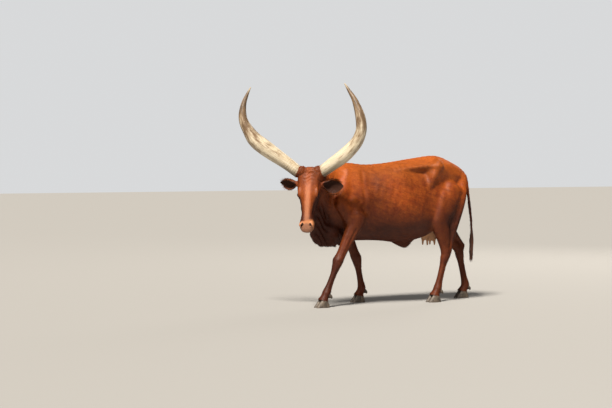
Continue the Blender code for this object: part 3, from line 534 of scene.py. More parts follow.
@dataclass
class TrunkForm:
    """Barrel, spine, hips, shoulders, chest, belly flap and udder."""

    barrel: tuple[Row, ...] = (
        (-0.76, 0.0, 1.07, 0.085, 0.08, 0.13), (-0.69, 0.0, 1.08, 0.12, 0.15, 0.2),
        (-0.56, 0.0, 1.07, 0.165, 0.235, 0.29), (-0.42, 0.0, 1.03, 0.19, 0.288, 0.325),
        (-0.28, 0.0, 0.965, 0.222, 0.337, 0.378), (-0.1, 0.0, 0.915, 0.266, 0.362, 0.372),
        (0.1, 0.0, 0.91, 0.264, 0.34, 0.348), (0.28, 0.0, 0.93, 0.228, 0.314, 0.366),
        (0.45, 0.0, 0.955, 0.18, 0.29, 0.395), (0.58, 0.0, 0.94, 0.14, 0.25, 0.36),
        (0.66, 0.0, 0.9, 0.095, 0.17, 0.29))
    spine: tuple[Row, ...] = ((-0.7, 1.212, 0.032), (-0.5, 1.293, 0.034), (-0.25, 1.272, 0.032),
                              (0.02, 1.233, 0.03), (0.25, 1.218, 0.03), (0.42, 1.232, 0.036),
                              (0.56, 1.205, 0.034))
    pelvis: tuple[Row, ...] = (
        (-0.33, 0.0, 1.15, 0.192, 0.085, 0.12), (-0.4, 0.0, 1.16, 0.214, 0.098, 0.13),
        (-0.48, 0.0, 1.17, 0.2, 0.125, 0.14), (-0.6, 0.0, 1.135, 0.17, 0.13, 0.14),
        (-0.7, 0.0, 1.11, 0.125, 0.1, 0.12), (-0.745, 0.0, 1.095, 0.095, 0.07, 0.095))
    loin_shelf: tuple[Row, ...] = ((-0.38, 0.16, 1.236), (-0.26, 0.138, 1.23), (-0.12, 0.118, 1.212),
                                   (0.02, 0.1, 1.185))
    hook: Row = (-0.412, 0.184, 1.226)
    sacrum: Row = (-0.47, 0.03, 1.265)
    hook_edge: tuple[Row, ...] = ((-0.405, 0.182, 1.205), (-0.362, 0.18, 1.13),
                                  (-0.332, 0.158, 1.04), (-0.315, 0.12, 0.96))
    pin: Row = (-0.742, 0.092, 1.125)
    thurl: Row = (-0.578, 0.16, 0.975)
    shoulder_point: Row = (0.585, 0.165, 0.92)
    shoulder_top: Row = (0.4, 0.075, 1.175)
    brisket: Row = (0.585, 0.0, 0.655)
    belly_flap: tuple[Row, ...] = ((-0.05, 0.0, 0.57), (-0.12, 0.0, 0.536), (-0.175, 0.0, 0.52),
                                   (-0.215, 0.0, 0.555), (-0.27, 0.0, 0.6))
    udder: Row = (-0.44, 0.0, 0.628)
    udder_size: Row = (0.095, 0.075, 0.085)
    teat_spread: Row = (0.038, 0.036)
    teat_drop: float = 0.117
    teat_radius: float = 0.011

    def shapes(self) -> list[Shape]:
        """All of the trunk's overlapping volumes.

        Returns:
            The volumes.
        """
        made = [loft(self.barrel, power=2.15, taper=0.2, sides=40)]
        made.append(loft([(x, 0.0, z, half, 0.034, 0.05) for x, z, half in self.spine]))
        made.append(loft(self.pelvis, power=2.2, sides=32))
        made.append(ball(self.brisket, (0.125, 0.088, 0.125)))
        made.append(tube(self.belly_flap, (0.03, 0.03, 0.03)))
        for side in SIDES.values():
            hook, sacrum = flipped(self.hook, side), flipped(self.sacrum, side)
            made.append(tube(flipped(self.loin_shelf, side), (0.045, 0.022, 0.045)))
            wing = [sacrum, between(sacrum, hook, 0.55), hook]
            made.append(tube(wing, (0.055, 0.036, 0.06), lateral=(1.0, 0.0, 0.0)))
            made.append(ball(hook, (0.064, 0.048, 0.044)))
            made.append(tube(flipped(self.hook_edge, side), (0.044, 0.042, 0.042)))
            made.append(ball(flipped(self.thurl, side), (0.062, 0.046, 0.1)))
            made.append(ball(flipped(self.pin, side), (0.042, 0.03, 0.045)))
            top, point = flipped(self.shoulder_top, side), flipped(self.shoulder_point, side)
            made.append(tube((top, between(top, point, 0.5), point),
                             (0.02, 0.085, 0.075), (0.04, 0.085, 0.08), (0.05, 0.06, 0.065)))
        return made + self.udder_shapes()

    def teats(self) -> list[Row]:
        """Place of each teat's tip.

        Returns:
            One point for each of the four.
        """
        x, y, z = self.udder
        apart, aside = self.teat_spread
        return [(x + apart * along + 0.012, y + aside * side + 0.004 * side, z - self.teat_drop)
                for along in (1, -1) for side in (1, -1)]

    def udder_shapes(self) -> list[Shape]:
        """Small udder between the thighs, with four teats.

        Returns:
            The volumes.
        """
        made = [ball(self.udder, self.udder_size)]
        for x, y, tip in self.teats():
            top = self.udder[2] - 0.045
            made.append(pipe(((x, y, top, 0.022), (x, y, top + (tip - top) * 0.55, self.teat_radius * 1.25),
                              (x, y, tip, self.teat_radius))))
        return made


@dataclass
class NeckForm:
    """Neck and dewlap."""

    neck: tuple[Row, ...] = (
        (0.42, 0.0, 1.03, 0.11, 0.205, 0.24), (0.56, 0.012, 1.015, 0.105, 0.212, 0.23),
        (0.68, 0.055, 1.028, 0.096, 0.19, 0.19), (0.78, 0.11, 1.052, 0.086, 0.162, 0.15),
        (0.855, 0.165, 1.082, 0.076, 0.135, 0.125), (0.905, 0.215, 1.105, 0.074, 0.11, 0.11))
    dewlap: tuple[Row, ...] = (
        (0.85, 0.19, 0.96, 0.026, 0.04, 0.07), (0.808, 0.125, 0.865, 0.03, 0.075, 0.095),
        (0.755, 0.06, 0.755, 0.036, 0.105, 0.12), (0.7, 0.015, 0.64, 0.042, 0.11, 0.12),
        (0.615, 0.0, 0.572, 0.04, 0.06, 0.1), (0.48, 0.0, 0.58, 0.038, 0.04, 0.07))
    nape: tuple[Row, ...] = ((0.69, 0.06, 1.12, 0.078, 0.076, 0.1),
                             (0.78, 0.124, 1.136, 0.094, 0.08, 0.12),
                             (0.85, 0.184, 1.15, 0.104, 0.078, 0.125),
                             (0.905, 0.234, 1.166, 0.098, 0.066, 0.11))
    lateral: Row = (-0.3, 0.95, 0.0)
    seam: Row = (0.8, 0.125, 1.05)
    seam_facing: Row = (0.66, 0.74, 0.1)

    def shapes(self) -> list[Shape]:
        """Neck and dewlap as overlapping volumes."""
        return [loft(self.neck, lateral=self.lateral, power=2.1, sides=32),
                loft(self.dewlap, lateral=self.lateral), loft(self.nape, lateral=self.lateral)]


@dataclass
class LegForm:
    """One leg down to its coronet, and where its claws stand."""

    side: int
    joints: dict[str, Row]
    sections: dict[tuple[str, str], tuple[Row, ...]]
    hind: bool
    coronet_height: float = 0.062
    coronet_slope: float = math.radians(20)

    def stations(self) -> list[Row]:
        """Cross-sections from the leg's joints and its table of sizes."""
        return [(*between(self.joints[start], self.joints[end], share), *size)
                for (start, end), rows in self.sections.items() for share, *size in rows]

    def bones(self) -> list[Row]:
        """The joints from the top down, as a bent line."""
        order = ("hip", "stifle", "hock") if self.hind else ("elbow", "knee")
        return [self.joints[name] for name in (*order, "fetlock", "toe")]

    def ankle(self) -> Row:
        """Middle of the coronet."""
        x, y, _ = between(self.joints["fetlock"], self.joints["toe"], 0.62)
        return (x, y, self.coronet_height)

    def coronet_facing(self) -> Row:
        """Way that the coronet faces, down to the claws."""
        return (math.sin(self.coronet_slope), 0.0, -math.cos(self.coronet_slope))

    def hock_tip(self) -> Row:
        """Point of the hock, behind and above the joint's centre."""
        x, y, z = self.joints["hock"]
        return (x - 0.05, y, z + 0.04)

    def shapes(self, trunk: TrunkForm) -> list[Shape]:
        """The leg's overlapping volumes, with the muscles that tie it to the trunk.

        Args:
            trunk: the trunk that the leg hangs from.

        Returns:
            The volumes.
        """
        made = [loft(self.stations(), power=2.2)]
        if self.hind:
            tip, pin = self.hock_tip(), flipped(trunk.pin, self.side)
            tendon = between(self.joints["calf"], tip, 0.6)
            made.append(tube((pin, self.joints["ham"], self.joints["calf"], tendon, tip),
                             (0.04, 0.06, 0.038), (0.072, 0.115, 0.048), (0.055, 0.085, 0.044),
                             (0.026, 0.034, 0.021), (0.022, 0.024, 0.018)))
            x, y, z = self.joints["hock"]
            made.append(tube((tip, (x - 0.022, y, z - 0.03)), (0.021, 0.024, 0.022), (0.03, 0.03, 0.024)))
            stifle, flank = self.joints["stifle"], (-0.25, 0.185 * self.side, 0.76)
            made.append(tube((stifle, between(stifle, flank, 0.5), flank), (0.03, 0.045, 0.045)))
            return made
        shoulder, elbow = tuple(flipped(trunk.shoulder_point, self.side)), self.joints["elbow"]
        made.append(tube((shoulder, between(shoulder, elbow, 0.5), elbow),
                         (0.052, 0.06, 0.07), (0.056, 0.07, 0.085), (0.054, 0.07, 0.075)))
        x, y, z = elbow
        made.append(ball((x + 0.005, y - 0.012 * self.side, z + 0.12), (0.105, 0.052, 0.12)))
        return made


# Share of the bone, then half width, reach over and reach under of each cross-section
FORE_SECTIONS = {
    ("elbow", "knee"): ((-0.26, 0.062, 0.085, 0.095), (0.0, 0.06, 0.076, 0.086), (0.25, 0.054, 0.064, 0.066),
                        (0.55, 0.044, 0.049, 0.05), (0.82, 0.041, 0.043, 0.042), (1.0, 0.047, 0.049, 0.044)),
    ("knee", "fetlock"): ((0.2, 0.039, 0.036, 0.037), (0.42, 0.027, 0.026, 0.031),
                          (0.75, 0.027, 0.026, 0.033), (1.0, 0.036, 0.035, 0.041)),
    ("fetlock", "toe"): ((0.34, 0.036, 0.032, 0.036), (0.66, 0.048, 0.041, 0.052), (1.1, 0.052, 0.044, 0.06))}
HIND_SECTIONS = {
    ("hip", "stifle"): ((0.0, 0.085, 0.12, 0.12), (0.5, 0.08, 0.13, 0.13), (0.85, 0.066, 0.085, 0.12)),
    ("stifle", "hock"): ((0.12, 0.058, 0.068, 0.12), (0.45, 0.047, 0.052, 0.098),
                         (0.78, 0.036, 0.038, 0.068), (1.0, 0.04, 0.042, 0.046)),
    ("hock", "fetlock"): ((0.16, 0.037, 0.037, 0.044), (0.36, 0.028, 0.028, 0.034),
                          (0.76, 0.028, 0.027, 0.034), (1.0, 0.037, 0.036, 0.042)),
    ("fetlock", "toe"): ((0.34, 0.037, 0.033, 0.037), (0.66, 0.049, 0.042, 0.053),
                         (1.1, 0.053, 0.045, 0.061))}


def four_legs() -> dict[str, LegForm]:
    """The legs in the photographed step, by name.

    Returns:
        One form for each leg.
    """
    fore_left = {"elbow": (0.44, 0.182, 0.73), "knee": (0.6, 0.17, 0.402),
                 "fetlock": (0.716, 0.165, 0.128), "toe": (0.765, 0.165, 0.03)}
    fore_right = {"elbow": (0.375, -0.182, 0.73), "knee": (0.236, -0.16, 0.402),
                  "fetlock": (0.188, -0.155, 0.128), "toe": (0.232, -0.155, 0.03)}
    hind_left = {"hip": (-0.6, 0.125, 1.03), "stifle": (-0.405, 0.178, 0.745),
                 "hock": (-0.515, 0.15, 0.44), "fetlock": (-0.436, 0.14, 0.124),
                 "toe": (-0.388, 0.14, 0.03), "ham": (-0.69, 0.122, 0.93), "calf": (-0.612, 0.135, 0.69)}
    hind_right = {"hip": (-0.6, -0.125, 1.03), "stifle": (-0.59, -0.176, 0.705),
                  "hock": (-0.836, -0.14, 0.448), "fetlock": (-0.904, -0.13, 0.122),
                  "toe": (-0.858, -0.13, 0.03), "ham": (-0.7, -0.122, 0.93),
                  "calf": (-0.742, -0.132, 0.67)}
    return {"fore_left": LegForm(1, fore_left, FORE_SECTIONS, False),
            "fore_right": LegForm(-1, fore_right, FORE_SECTIONS, False),
            "hind_left": LegForm(1, hind_left, HIND_SECTIONS, True),
            "hind_right": LegForm(-1, hind_right, HIND_SECTIONS, True)}


@dataclass
class TailForm:
    """Tail down to where its bones end, and the reach of its switch."""

    line: tuple[Row, ...] = (
        (-0.64, 0.0, 1.195, 0.036), (-0.73, 0.0, 1.192, 0.034), (-0.796, 0.0, 1.14, 0.03),
        (-0.832, 0.0, 1.06, 0.025), (-0.852, 0.003, 0.95, 0.02), (-0.872, 0.008, 0.8, 0.016),
        (-0.884, 0.012, 0.66, 0.013), (-0.884, 0.013, 0.56, 0.0105), (-0.879, 0.012, 0.48, 0.008))
    switch_top: float = 0.63
    switch_bottom: float = 0.33

    def shapes(self) -> list[Shape]:
        """The tail as one tapering volume."""
        return [pipe(self.line)]


@dataclass
class HeadForm:
    """Head, with its place and turn, in a frame of its own: x down the face, y left, z out of the brow."""

    poll: Row = (0.93, 0.252, 1.222)
    yaw: float = math.radians(54)
    lean: float = math.radians(17)
    roll: float = math.radians(-0.5)
    skull: tuple[Row, ...] = (
        (-0.005, 0.06, -0.03, -0.13), (0.05, 0.1, -0.006, -0.165), (0.12, 0.107, 0.0, -0.175),
        (0.19, 0.101, 0.004, -0.17), (0.25, 0.084, 0.004, -0.155), (0.32, 0.066, -0.001, -0.135),
        (0.4, 0.058, -0.009, -0.118), (0.47, 0.063, -0.014, -0.108), (0.52, 0.06, -0.026, -0.104),
        (0.545, 0.046, -0.04, -0.098))
    jaw: tuple[Row, ...] = (
        (0.12, 0.058, -0.15, 0.026, 0.052), (0.19, 0.058, -0.172, 0.026, 0.054),
        (0.27, 0.048, -0.16, 0.024, 0.046), (0.36, 0.034, -0.136, 0.022, 0.032),
        (0.44, 0.024, -0.122, 0.022, 0.026), (0.5, 0.018, -0.112, 0.024, 0.022))
    eye: Row = (0.232, 0.0755, -0.047)
    eye_radius: float = 0.019
    eye_look: Row = (-0.02, 0.88, 0.47)
    lid_thickness: float = 0.0056
    lid_opening: float = 0.0105
    mouth_corner: Row = (0.418, -0.113)
    mouth_front: float = -0.1005
    mouth_turn: float = 0.49
    ear_root: Row = (0.122, 0.088, -0.088)
    ear_stub: float = 0.026

    def place(self) -> Matrix:
        """Where the head's own frame lies in the cow.

        Returns:
            The matrix from the head's frame to the cow's.
        """
        turn = Matrix.Rotation(self.yaw, 4, "Z") @ Matrix.Rotation(math.pi / 2 - self.lean, 4, "Y")
        roll = Matrix.Rotation(self.roll, 4, Vector((math.cos(self.yaw), math.sin(self.yaw), 0.0)))
        return Matrix.Translation(self.poll) @ roll @ turn

    def outward(self, out: float, up: float, forward: float, side: int) -> Vector:
        """Direction in the cow of an out, up, forward triple of the turned head.

        Args:
            out: share out to the side.
            up: share upwards.
            forward: share to the front of the head.
            side: 1 for the left and -1 for the right.

        Returns:
            The direction.
        """
        left = Vector((-math.sin(self.yaw), math.cos(self.yaw), 0.0))
        ahead = Vector((math.cos(self.yaw), math.sin(self.yaw), 0.0))
        return left * (out * side) + Vector((0.0, 0.0, up)) + ahead * forward

    def eye_frame(self, side: int) -> tuple[Vector, Vector, Vector, Vector]:
        """Middle of an eye and its directions, in the head's frame.

        Args:
            side: 1 for the left eye and -1 for the right.

        Returns:
            The middle, then the ways along the slit, up to the brow, and out of the pupil.
        """
        look = Vector((self.eye_look[0], self.eye_look[1] * side, self.eye_look[2])).normalized()
        along = Vector((1.0, 0.0, 0.0))
        along = (along - look * along.dot(look)).normalized()
        return Vector((self.eye[0], self.eye[1] * side, self.eye[2])), along, along.cross(look) * side, look

    def lid_path(self, side: int, upper: bool, lift: float = 0.001) -> list[Row]:
        """Middle line of a lid round the eye.

        Args:
            side: 1 for the left and -1 for the right.
            upper: whether it is the upper lid.
            lift: height over the eyeball.

        Returns:
            Points in the head's frame.
        """
        middle, along, over, look = self.eye_frame(side)
        points = []
        for step in range(13):
            angle = math.pi * step / 12
            rise = (self.lid_opening if upper else -self.lid_opening * 0.7) * math.sin(angle)
            reach = self.eye_radius * 0.93 * math.cos(angle)
            ahead = math.sqrt(max(0.0, (self.eye_radius + lift) ** 2 - reach ** 2 - rise ** 2))
            points.append(tuple(middle + along * reach + over * rise + look * ahead))
        return points

    def shapes(self) -> list[Shape]:
        """All of the head's flesh, in its own frame.

        Returns:
            The volumes.
        """
        stations = []
        for distance, half, brow, under in self.skull:
            middle = (brow + under) / 2
            stations.append((distance, 0.0, middle, half, brow - middle, middle - under))
        made = [loft(stations, power=2.35, sides=36)]
        made += [ball((0.515, 0.0, -0.112), (0.036, 0.042, 0.02)),
                 ball((0.3, 0.0, -0.128), (0.13, 0.038, 0.045)),
                 ball((0.03, 0.0, -0.04), (0.048, 0.055, 0.036))]
        for side in SIDES.values():
            made.append(loft([(d, w * side, v, half, tall, tall) for d, w, v, half, tall in self.jaw]))
            x, y, z = self.eye
            for middle, size in (((0.165, 0.074, -0.12), (0.075, 0.028, 0.062)),
                                 ((0.208, 0.071, -0.028), (0.05, 0.021, 0.02)),
                                 ((0.022, 0.064, -0.052), (0.052, 0.044, 0.05)),
                                 ((x + 0.004, y * 0.93, z - 0.012), (0.04, 0.021, 0.033)),
                                 ((0.315, 0.052, -0.078), (0.065, 0.016, 0.016)),
                                 ((0.492, 0.04, -0.04), (0.036, 0.026, 0.026))):
                made.append(ball(flipped(middle, side), size))
            for upper in (True, False):
                thick = self.lid_thickness * (1.0 if upper else 0.85)
                made.append(tube(self.lid_path(side, upper), (thick, thick, thick),
                                 lateral=(0.0, 0.4 * side, 0.9), sides=12, steps=2))
            x, y, z = self.ear_root
            made.append(ball((x, (y - 0.012) * side, z), (0.036, 0.03, 0.032)))
        return made


@dataclass
class EarForm:
    """One ear, a leaf rolled into a cup at its root."""

    side: int
    length: float
    tip_way: Row
    cup_way: Row
    head: HeadForm
    # Share of the length, half width, depth of the cup, how far the wall wraps round in degrees
    sections: tuple[Row, ...] = (
        (-0.08, 0.022, 0.021, 165.0), (0.0, 0.027, 0.023, 158.0), (0.16, 0.039, 0.027, 140.0),
        (0.36, 0.056, 0.03, 118.0), (0.56, 0.06, 0.027, 104.0), (0.76, 0.046, 0.019, 96.0),
        (0.9, 0.024, 0.011, 88.0), (0.995, 0.007, 0.005, 80.0))
    spread: float = 1.0
    wall: float = 0.0062
    bow: float = 0.01
    belly: float = 0.014

    def middle(self, share: float) -> np.ndarray:
        """Middle of the wall at a share of the length, bowed back and sagging below a straight edge.

        Args:
            share: share of the length from the cup's base.

        Returns:
            The point in the cow's frame.
        """
        base, along, opening, _ = (np.array(part) for part in self.frame())
        swell = math.sin(math.pi * max(share, 0.0))
        sag = np.array((0, 0, self.belly * swell))
        return base + along * (self.length * share) - opening * (self.bow * swell) - sag

    def frame(self) -> tuple[Vector, Vector, Vector, Vector]:
        """Base of the cup, way to the tip, way that the cup opens, and way across, in the cow.

        Returns:
            The point and the three directions.
        """
        x, y, z = self.head.ear_root
        root = self.head.place() @ Vector((x, y * self.side, z))
        along = self.head.outward(*self.tip_way, self.side).normalized()
        opening = self.head.outward(*self.cup_way, self.side)
        opening = (opening - along * opening.dot(along)).normalized()
        return root + along * self.head.ear_stub, along, opening, opening.cross(along)

    def local(self, points: np.ndarray) -> np.ndarray:
        """Points as share of the length, sideways and towards the opening, from the cup's base.

        Args:
            points: rows of x, y, z in the cow's frame.

        Returns:
            One row of the three for each point.
        """
        base, along, opening, across = (np.array(part) for part in self.frame())
        away = points - base
        share = away @ along / self.length
        away = away + np.outer(np.sin(math.pi * np.clip(share, 0.0, 1.0)) * self.belly, (0.0, 0.0, 1.0))
        return np.stack([share, away @ across, away @ opening], axis=1)

    def shapes(self) -> list[Shape]:
        """Wall of the ear as one closed shell, and the stub that it grows from.

        Returns:
            The shell and the stub.
        """
        base, along, opening, across = (np.array(part) for part in self.frame())
        rows = smooth_rows(self.sections, 4)
        count = 21
        outer, inner = [], []
        for share, half, deep, wrap in rows:
            middle = self.middle(share)
            half *= self.spread if share > 0.0 else 1.0
            limit = math.radians(wrap)
            widest = math.sin(min(limit, math.pi / 2))
            for step in range(count):
                angle = limit * (2 * step / (count - 1) - 1)
                for store, cut in ((outer, 0.0), (inner, self.wall)):
                    wide = max(half - cut, 0.001) * math.sin(angle) / widest
                    low = max(deep - cut, 0.0005) * math.cos(angle)
                    store.append(middle + across * wide - opening * low)
        points, shift = np.array(outer + inner), len(outer)
        faces = band_faces(len(rows), count, closed=False)
        faces += [tuple(shift + index for index in face[::-1]) for face in faces]
        last = (len(rows) - 1) * count
        hems = [(index, index + count, 1) for index in range(0, last, count)]
        hems += [(index, index + count, -1) for index in range(count - 1, last, count)]
        hems += [(index, index + 1, -1) for index in range(count - 1)]
        hems += [(index, index + 1, 1) for index in range(last, last + count - 1)]
        faces += [(a, b, shift + b, shift + a)[::turn] for a, b, turn in hems]
        root = base - along * self.head.ear_stub
        rows = ((*(root - along * 0.02), 0.03), (*(base - along * 0.008), 0.026))
        stub = pipe(rows, lateral=tuple(across))
        return [(points, faces), stub]


@dataclass
class HornForm:
    """Middle line of one horn: out from the poll, up and forward, then radius."""

    side: int
    head: HeadForm
    line: tuple[Row, ...]
    start: int = 1
    steps: int = 14
    sunk: float = 0.012

    def stations(self) -> np.ndarray:
        """Rows of x, y, z, radius in the cow.

        Returns:
            One row for each cross-section.
        """
        rows = []
        for out, up, forward, radius in self.line:
            point = Vector(self.head.poll) + self.head.outward(out, up, forward, self.side)
            rows.append((*point, radius))
        return np.array(rows)

    def collar(self) -> Shape:
        """Ring of skin that the horn grows from, with the bone core behind it.

        Returns:
            The ring.
        """
        rows = self.stations()[:3]
        base = rows[self.start]
        way = unit(rows[self.start + 1][:3] - base[:3])
        end = base[:3] + way * 0.004
        return pipe(((*rows[0][:3], 0.053), (*base[:3], 0.0545), (*end, 0.0535)), lateral=(0.0, 0.0, 1.0),
                    rounded=False)

    def root(self) -> np.ndarray:
        """Place where the sheath leaves the collar."""
        return self.stations()[self.start][:3]

    def swept(self) -> np.ndarray:
        """Dense rows of the sheath, from inside the collar to the tip.

        Returns:
            The rows of x, y, z and radius.
        """
        rows = smooth_rows(self.stations(), self.steps)[self.start * self.steps:]
        way = unit(rows[1, :3] - rows[0, :3])
        first = np.array([*(rows[0, :3] - way * self.sunk), rows[0, 3] - 0.001])
        return np.vstack([first, rows])


HORN_LINES = {
    "left": (
        (0.06, -0.035, -0.062, 0.0505), (0.107, -0.03, -0.06, 0.052), (0.202, 0.034, -0.04, 0.056),
        (0.288, 0.094, -0.02, 0.06), (0.365, 0.163, -0.005, 0.0565), (0.421, 0.232, 0.005, 0.0515),
        (0.451, 0.309, 0.008, 0.0472), (0.454, 0.373, 0.006, 0.0455), (0.442, 0.446, -0.002, 0.042),
        (0.416, 0.524, -0.016, 0.0322), (0.386, 0.592, -0.034, 0.0236), (0.352, 0.644, -0.052, 0.017),
        (0.322, 0.69, -0.068, 0.011), (0.298, 0.726, -0.08, 0.004)),
    "right": (
        (0.06, -0.04, -0.062, 0.0505), (0.107, -0.032, -0.06, 0.052), (0.17, 0.016, -0.045, 0.0545),
        (0.2335, 0.063, -0.03, 0.058), (0.373, 0.163, -0.004, 0.068), (0.47, 0.24, 0.008, 0.064),
        (0.532, 0.326, 0.01, 0.049), (0.57, 0.399, 0.006, 0.04), (0.582, 0.472, -0.004, 0.0325),
        (0.573, 0.558, -0.022, 0.022), (0.549, 0.633, -0.044, 0.013), (0.522, 0.697, -0.066, 0.004))}


@dataclass
class Cow:
    """All forms of the cow in the order that they hang together."""

    trunk: TrunkForm = field(default_factory=TrunkForm)
    neck: NeckForm = field(default_factory=NeckForm)
    tail: TailForm = field(default_factory=TailForm)
    head: HeadForm = field(default_factory=HeadForm)
    legs: dict[str, LegForm] = field(default_factory=four_legs)
    ears: dict[str, EarForm] = field(init=False)
    horns: dict[str, HornForm] = field(init=False)
    shift: Vector = field(default_factory=Vector)

    def __post_init__(self) -> None:
        """Set the ears and horns on the head."""
        self.ears = {"left": EarForm(1, 0.18, (0.965, -0.08, -0.15), (0.1, 0.02, 0.99), self.head,
                                     spread=1.1),
                     "right": EarForm(-1, 0.165, (0.94, 0.06, -0.3), (0.16, -0.42, 0.88), self.head,
                                      spread=0.84)}
        self.horns = {name: HornForm(side, self.head, HORN_LINES[name]) for name, side in SIDES.items()}

    def stand_on_frame(self) -> None:
        """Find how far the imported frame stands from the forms, by the left eye."""
        low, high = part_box("eye_left")
        self.shift = (low + high) / 2 - self.head.place() @ Vector(self.head.eye)
        self.shift.z = 0.0
        LOG.info("frame shift %s", tuple(round(value, 4) for value in self.shift))

    def to_frame(self, piece: Thing) -> None:
        """Move a piece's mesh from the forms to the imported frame."""
        piece.data.transform(Matrix.Translation(self.shift))


class Tree:
    """Builds a node tree of either kind, with short calls for nodes and links."""

    def __init__(self, tree: bpy.types.NodeTree) -> None:
        """Keep the tree that the nodes go into."""
        self.tree = tree

    def add(self, kind: str, inputs: dict | None = None, **settings: object) -> bpy.types.Node:
        """One node with its settings, its input values and its links.

        Args:
            kind: Blender's name of the node type.
            inputs: value or output socket for each input, by name or number.
            settings: the node's own properties.

        Returns:
            The node.
        """
        node = self.tree.nodes.new(kind)
        for name, value in settings.items():
            setattr(node, name, value)
        for name, value in (inputs or {}).items():
            self.feed(node.inputs[name], value)
        return node

    def feed(self, socket: Socket, value: object) -> None:
        """Give an input a link from another socket or a constant.

        Args:
            socket: the input.
            value: an output socket or a constant.
        """
        if isinstance(value, Socket):
            self.tree.links.new(value, socket)
        else:
            socket.default_value = value

    def math(self, operation: str, *values: object) -> Socket:
        """Result of a Math node on numbers or sockets."""
        return self.add("ShaderNodeMath", dict(enumerate(values)), operation=operation).outputs[0]

    def times(self, one: object, two: object) -> Socket:
        """Product of two numbers or sockets."""
        return self.math("MULTIPLY", one, two)

    def plus(self, one: object, two: object) -> Socket:
        """Sum of two numbers or sockets."""
        return self.math("ADD", one, two)

    def minus(self, one: object, two: object) -> Socket:
        """Difference of two numbers or sockets."""
        return self.math("SUBTRACT", one, two)

    def vector(self, operation: str, *values: object, output: int | str = 0) -> Socket:
        """Result of a Vector Math node on vectors or sockets."""
        return self.add("ShaderNodeVectorMath", dict(enumerate(values)), operation=operation).outputs[output]

    def combined(self, x: object, y: object, z: object) -> Socket:
        """Vector of three numbers or sockets."""
        return self.add("ShaderNodeCombineXYZ", {0: x, 1: y, 2: z}).outputs[0]


class Paint(Tree):
    """Node material with a Principled shader."""

    def __init__(self, name: str) -> None:
        """Start an empty material of a given name.

        Args:
            name: the material's name.
        """
        self.material = bpy.data.materials.new(name)
        self.material.use_nodes = True
        super().__init__(self.material.node_tree)
        self.shader = self.tree.nodes["Principled BSDF"]
        self.place = self.add("ShaderNodeTexCoord").outputs["Object"]

    def set(self, **values: object) -> None:
        """Constant or linked values of the shader's sockets, with underscores for spaces."""
        for name, value in values.items():
            self.feed(self.shader.inputs[name.replace("_", " ")], value)

    def noise(self, scale: float, detail: float = 3.0, rough: float = 0.55,
              at: Socket | None = None) -> Socket:
        """Grey noise at a scale, read at the object's coordinates or another vector."""
        node = self.add("ShaderNodeTexNoise", {"Vector": at or self.place, "Scale": scale, "Detail": detail,
                                               "Roughness": rough})
        return node.outputs[0]

    def strands(self, scale: Row, turn: Row = (0.0, 0.0, 0.0), detail: float = 3.0,
                rough: float = 0.6) -> Socket:
        """Noise drawn out along one way of the object: turned, then scaled on each axis.

        Args:
            scale: density along each turned axis.
            turn: angle about each axis.
            detail: layers of the noise.
            rough: strength of its finer layers.

        Returns:
            The noise socket.
        """
        turned = self.add("ShaderNodeMapping", {"Vector": self.place, "Rotation": turn})
        scaled = self.add("ShaderNodeMapping", {"Vector": turned.outputs[0], "Scale": scale}).outputs[0]
        return self.noise(1.0, detail, rough, scaled)

    def level(self, value: Socket, low: float, high: float, to_low: float = 0.0,
              to_high: float = 1.0) -> Socket:
        """A value taken from one range to another and held inside it."""
        node = self.add("ShaderNodeMapRange", {"Value": value, "From Min": low, "From Max": high,
                                               "To Min": to_low, "To Max": to_high})
        return node.outputs[0]

    def mix(self, share: object, under: object, over: object, blend: str = "MIX") -> Socket:
        """Two colours mixed by a share.

        Args:
            share: share of the second colour.
            under: the first colour.
            over: the second colour.
            blend: Blender's name of the way they mix.

        Returns:
            The colour socket.
        """
        node = self.add("ShaderNodeMix", data_type="RGBA", blend_type=blend)
        self.feed(node.inputs[0], share)
        for index, value in ((6, under), (7, over)):
            self.feed(node.inputs[index], (*value, 1.0) if isinstance(value, tuple) else value)
        return node.outputs[2]

    def tint(self, under: Socket, over: object, share: Socket, strength: float) -> Socket:
        """A colour laid over another by a share of a strength."""
        return self.mix(self.times(share, strength), under, over)

    def grey(self, value: Socket) -> Socket:
        """Grey of a given lightness."""
        return self.add("ShaderNodeCombineColor", {0: value, 1: value, 2: value}).outputs[0]

    def mask(self, name: str) -> Socket:
        """Grey value of a mesh attribute."""
        return self.add("ShaderNodeAttribute", attribute_name=name).outputs["Fac"]

    def bump(self, height: Socket, strength: float, distance: float,
             under: Socket | None = None) -> Socket:
        """Bump from a height, over another bump if there is one.

        Args:
            height: the height to read.
            strength: how much of it shows, from 0 to 1.
            distance: its depth in metres.
            under: the bump below it, or none.

        Returns:
            The normal socket.
        """
        inputs = {"Height": height, "Strength": strength, "Distance": distance}
        if under is not None:
            inputs["Normal"] = under
        return self.add("ShaderNodeBump", inputs).outputs[0]


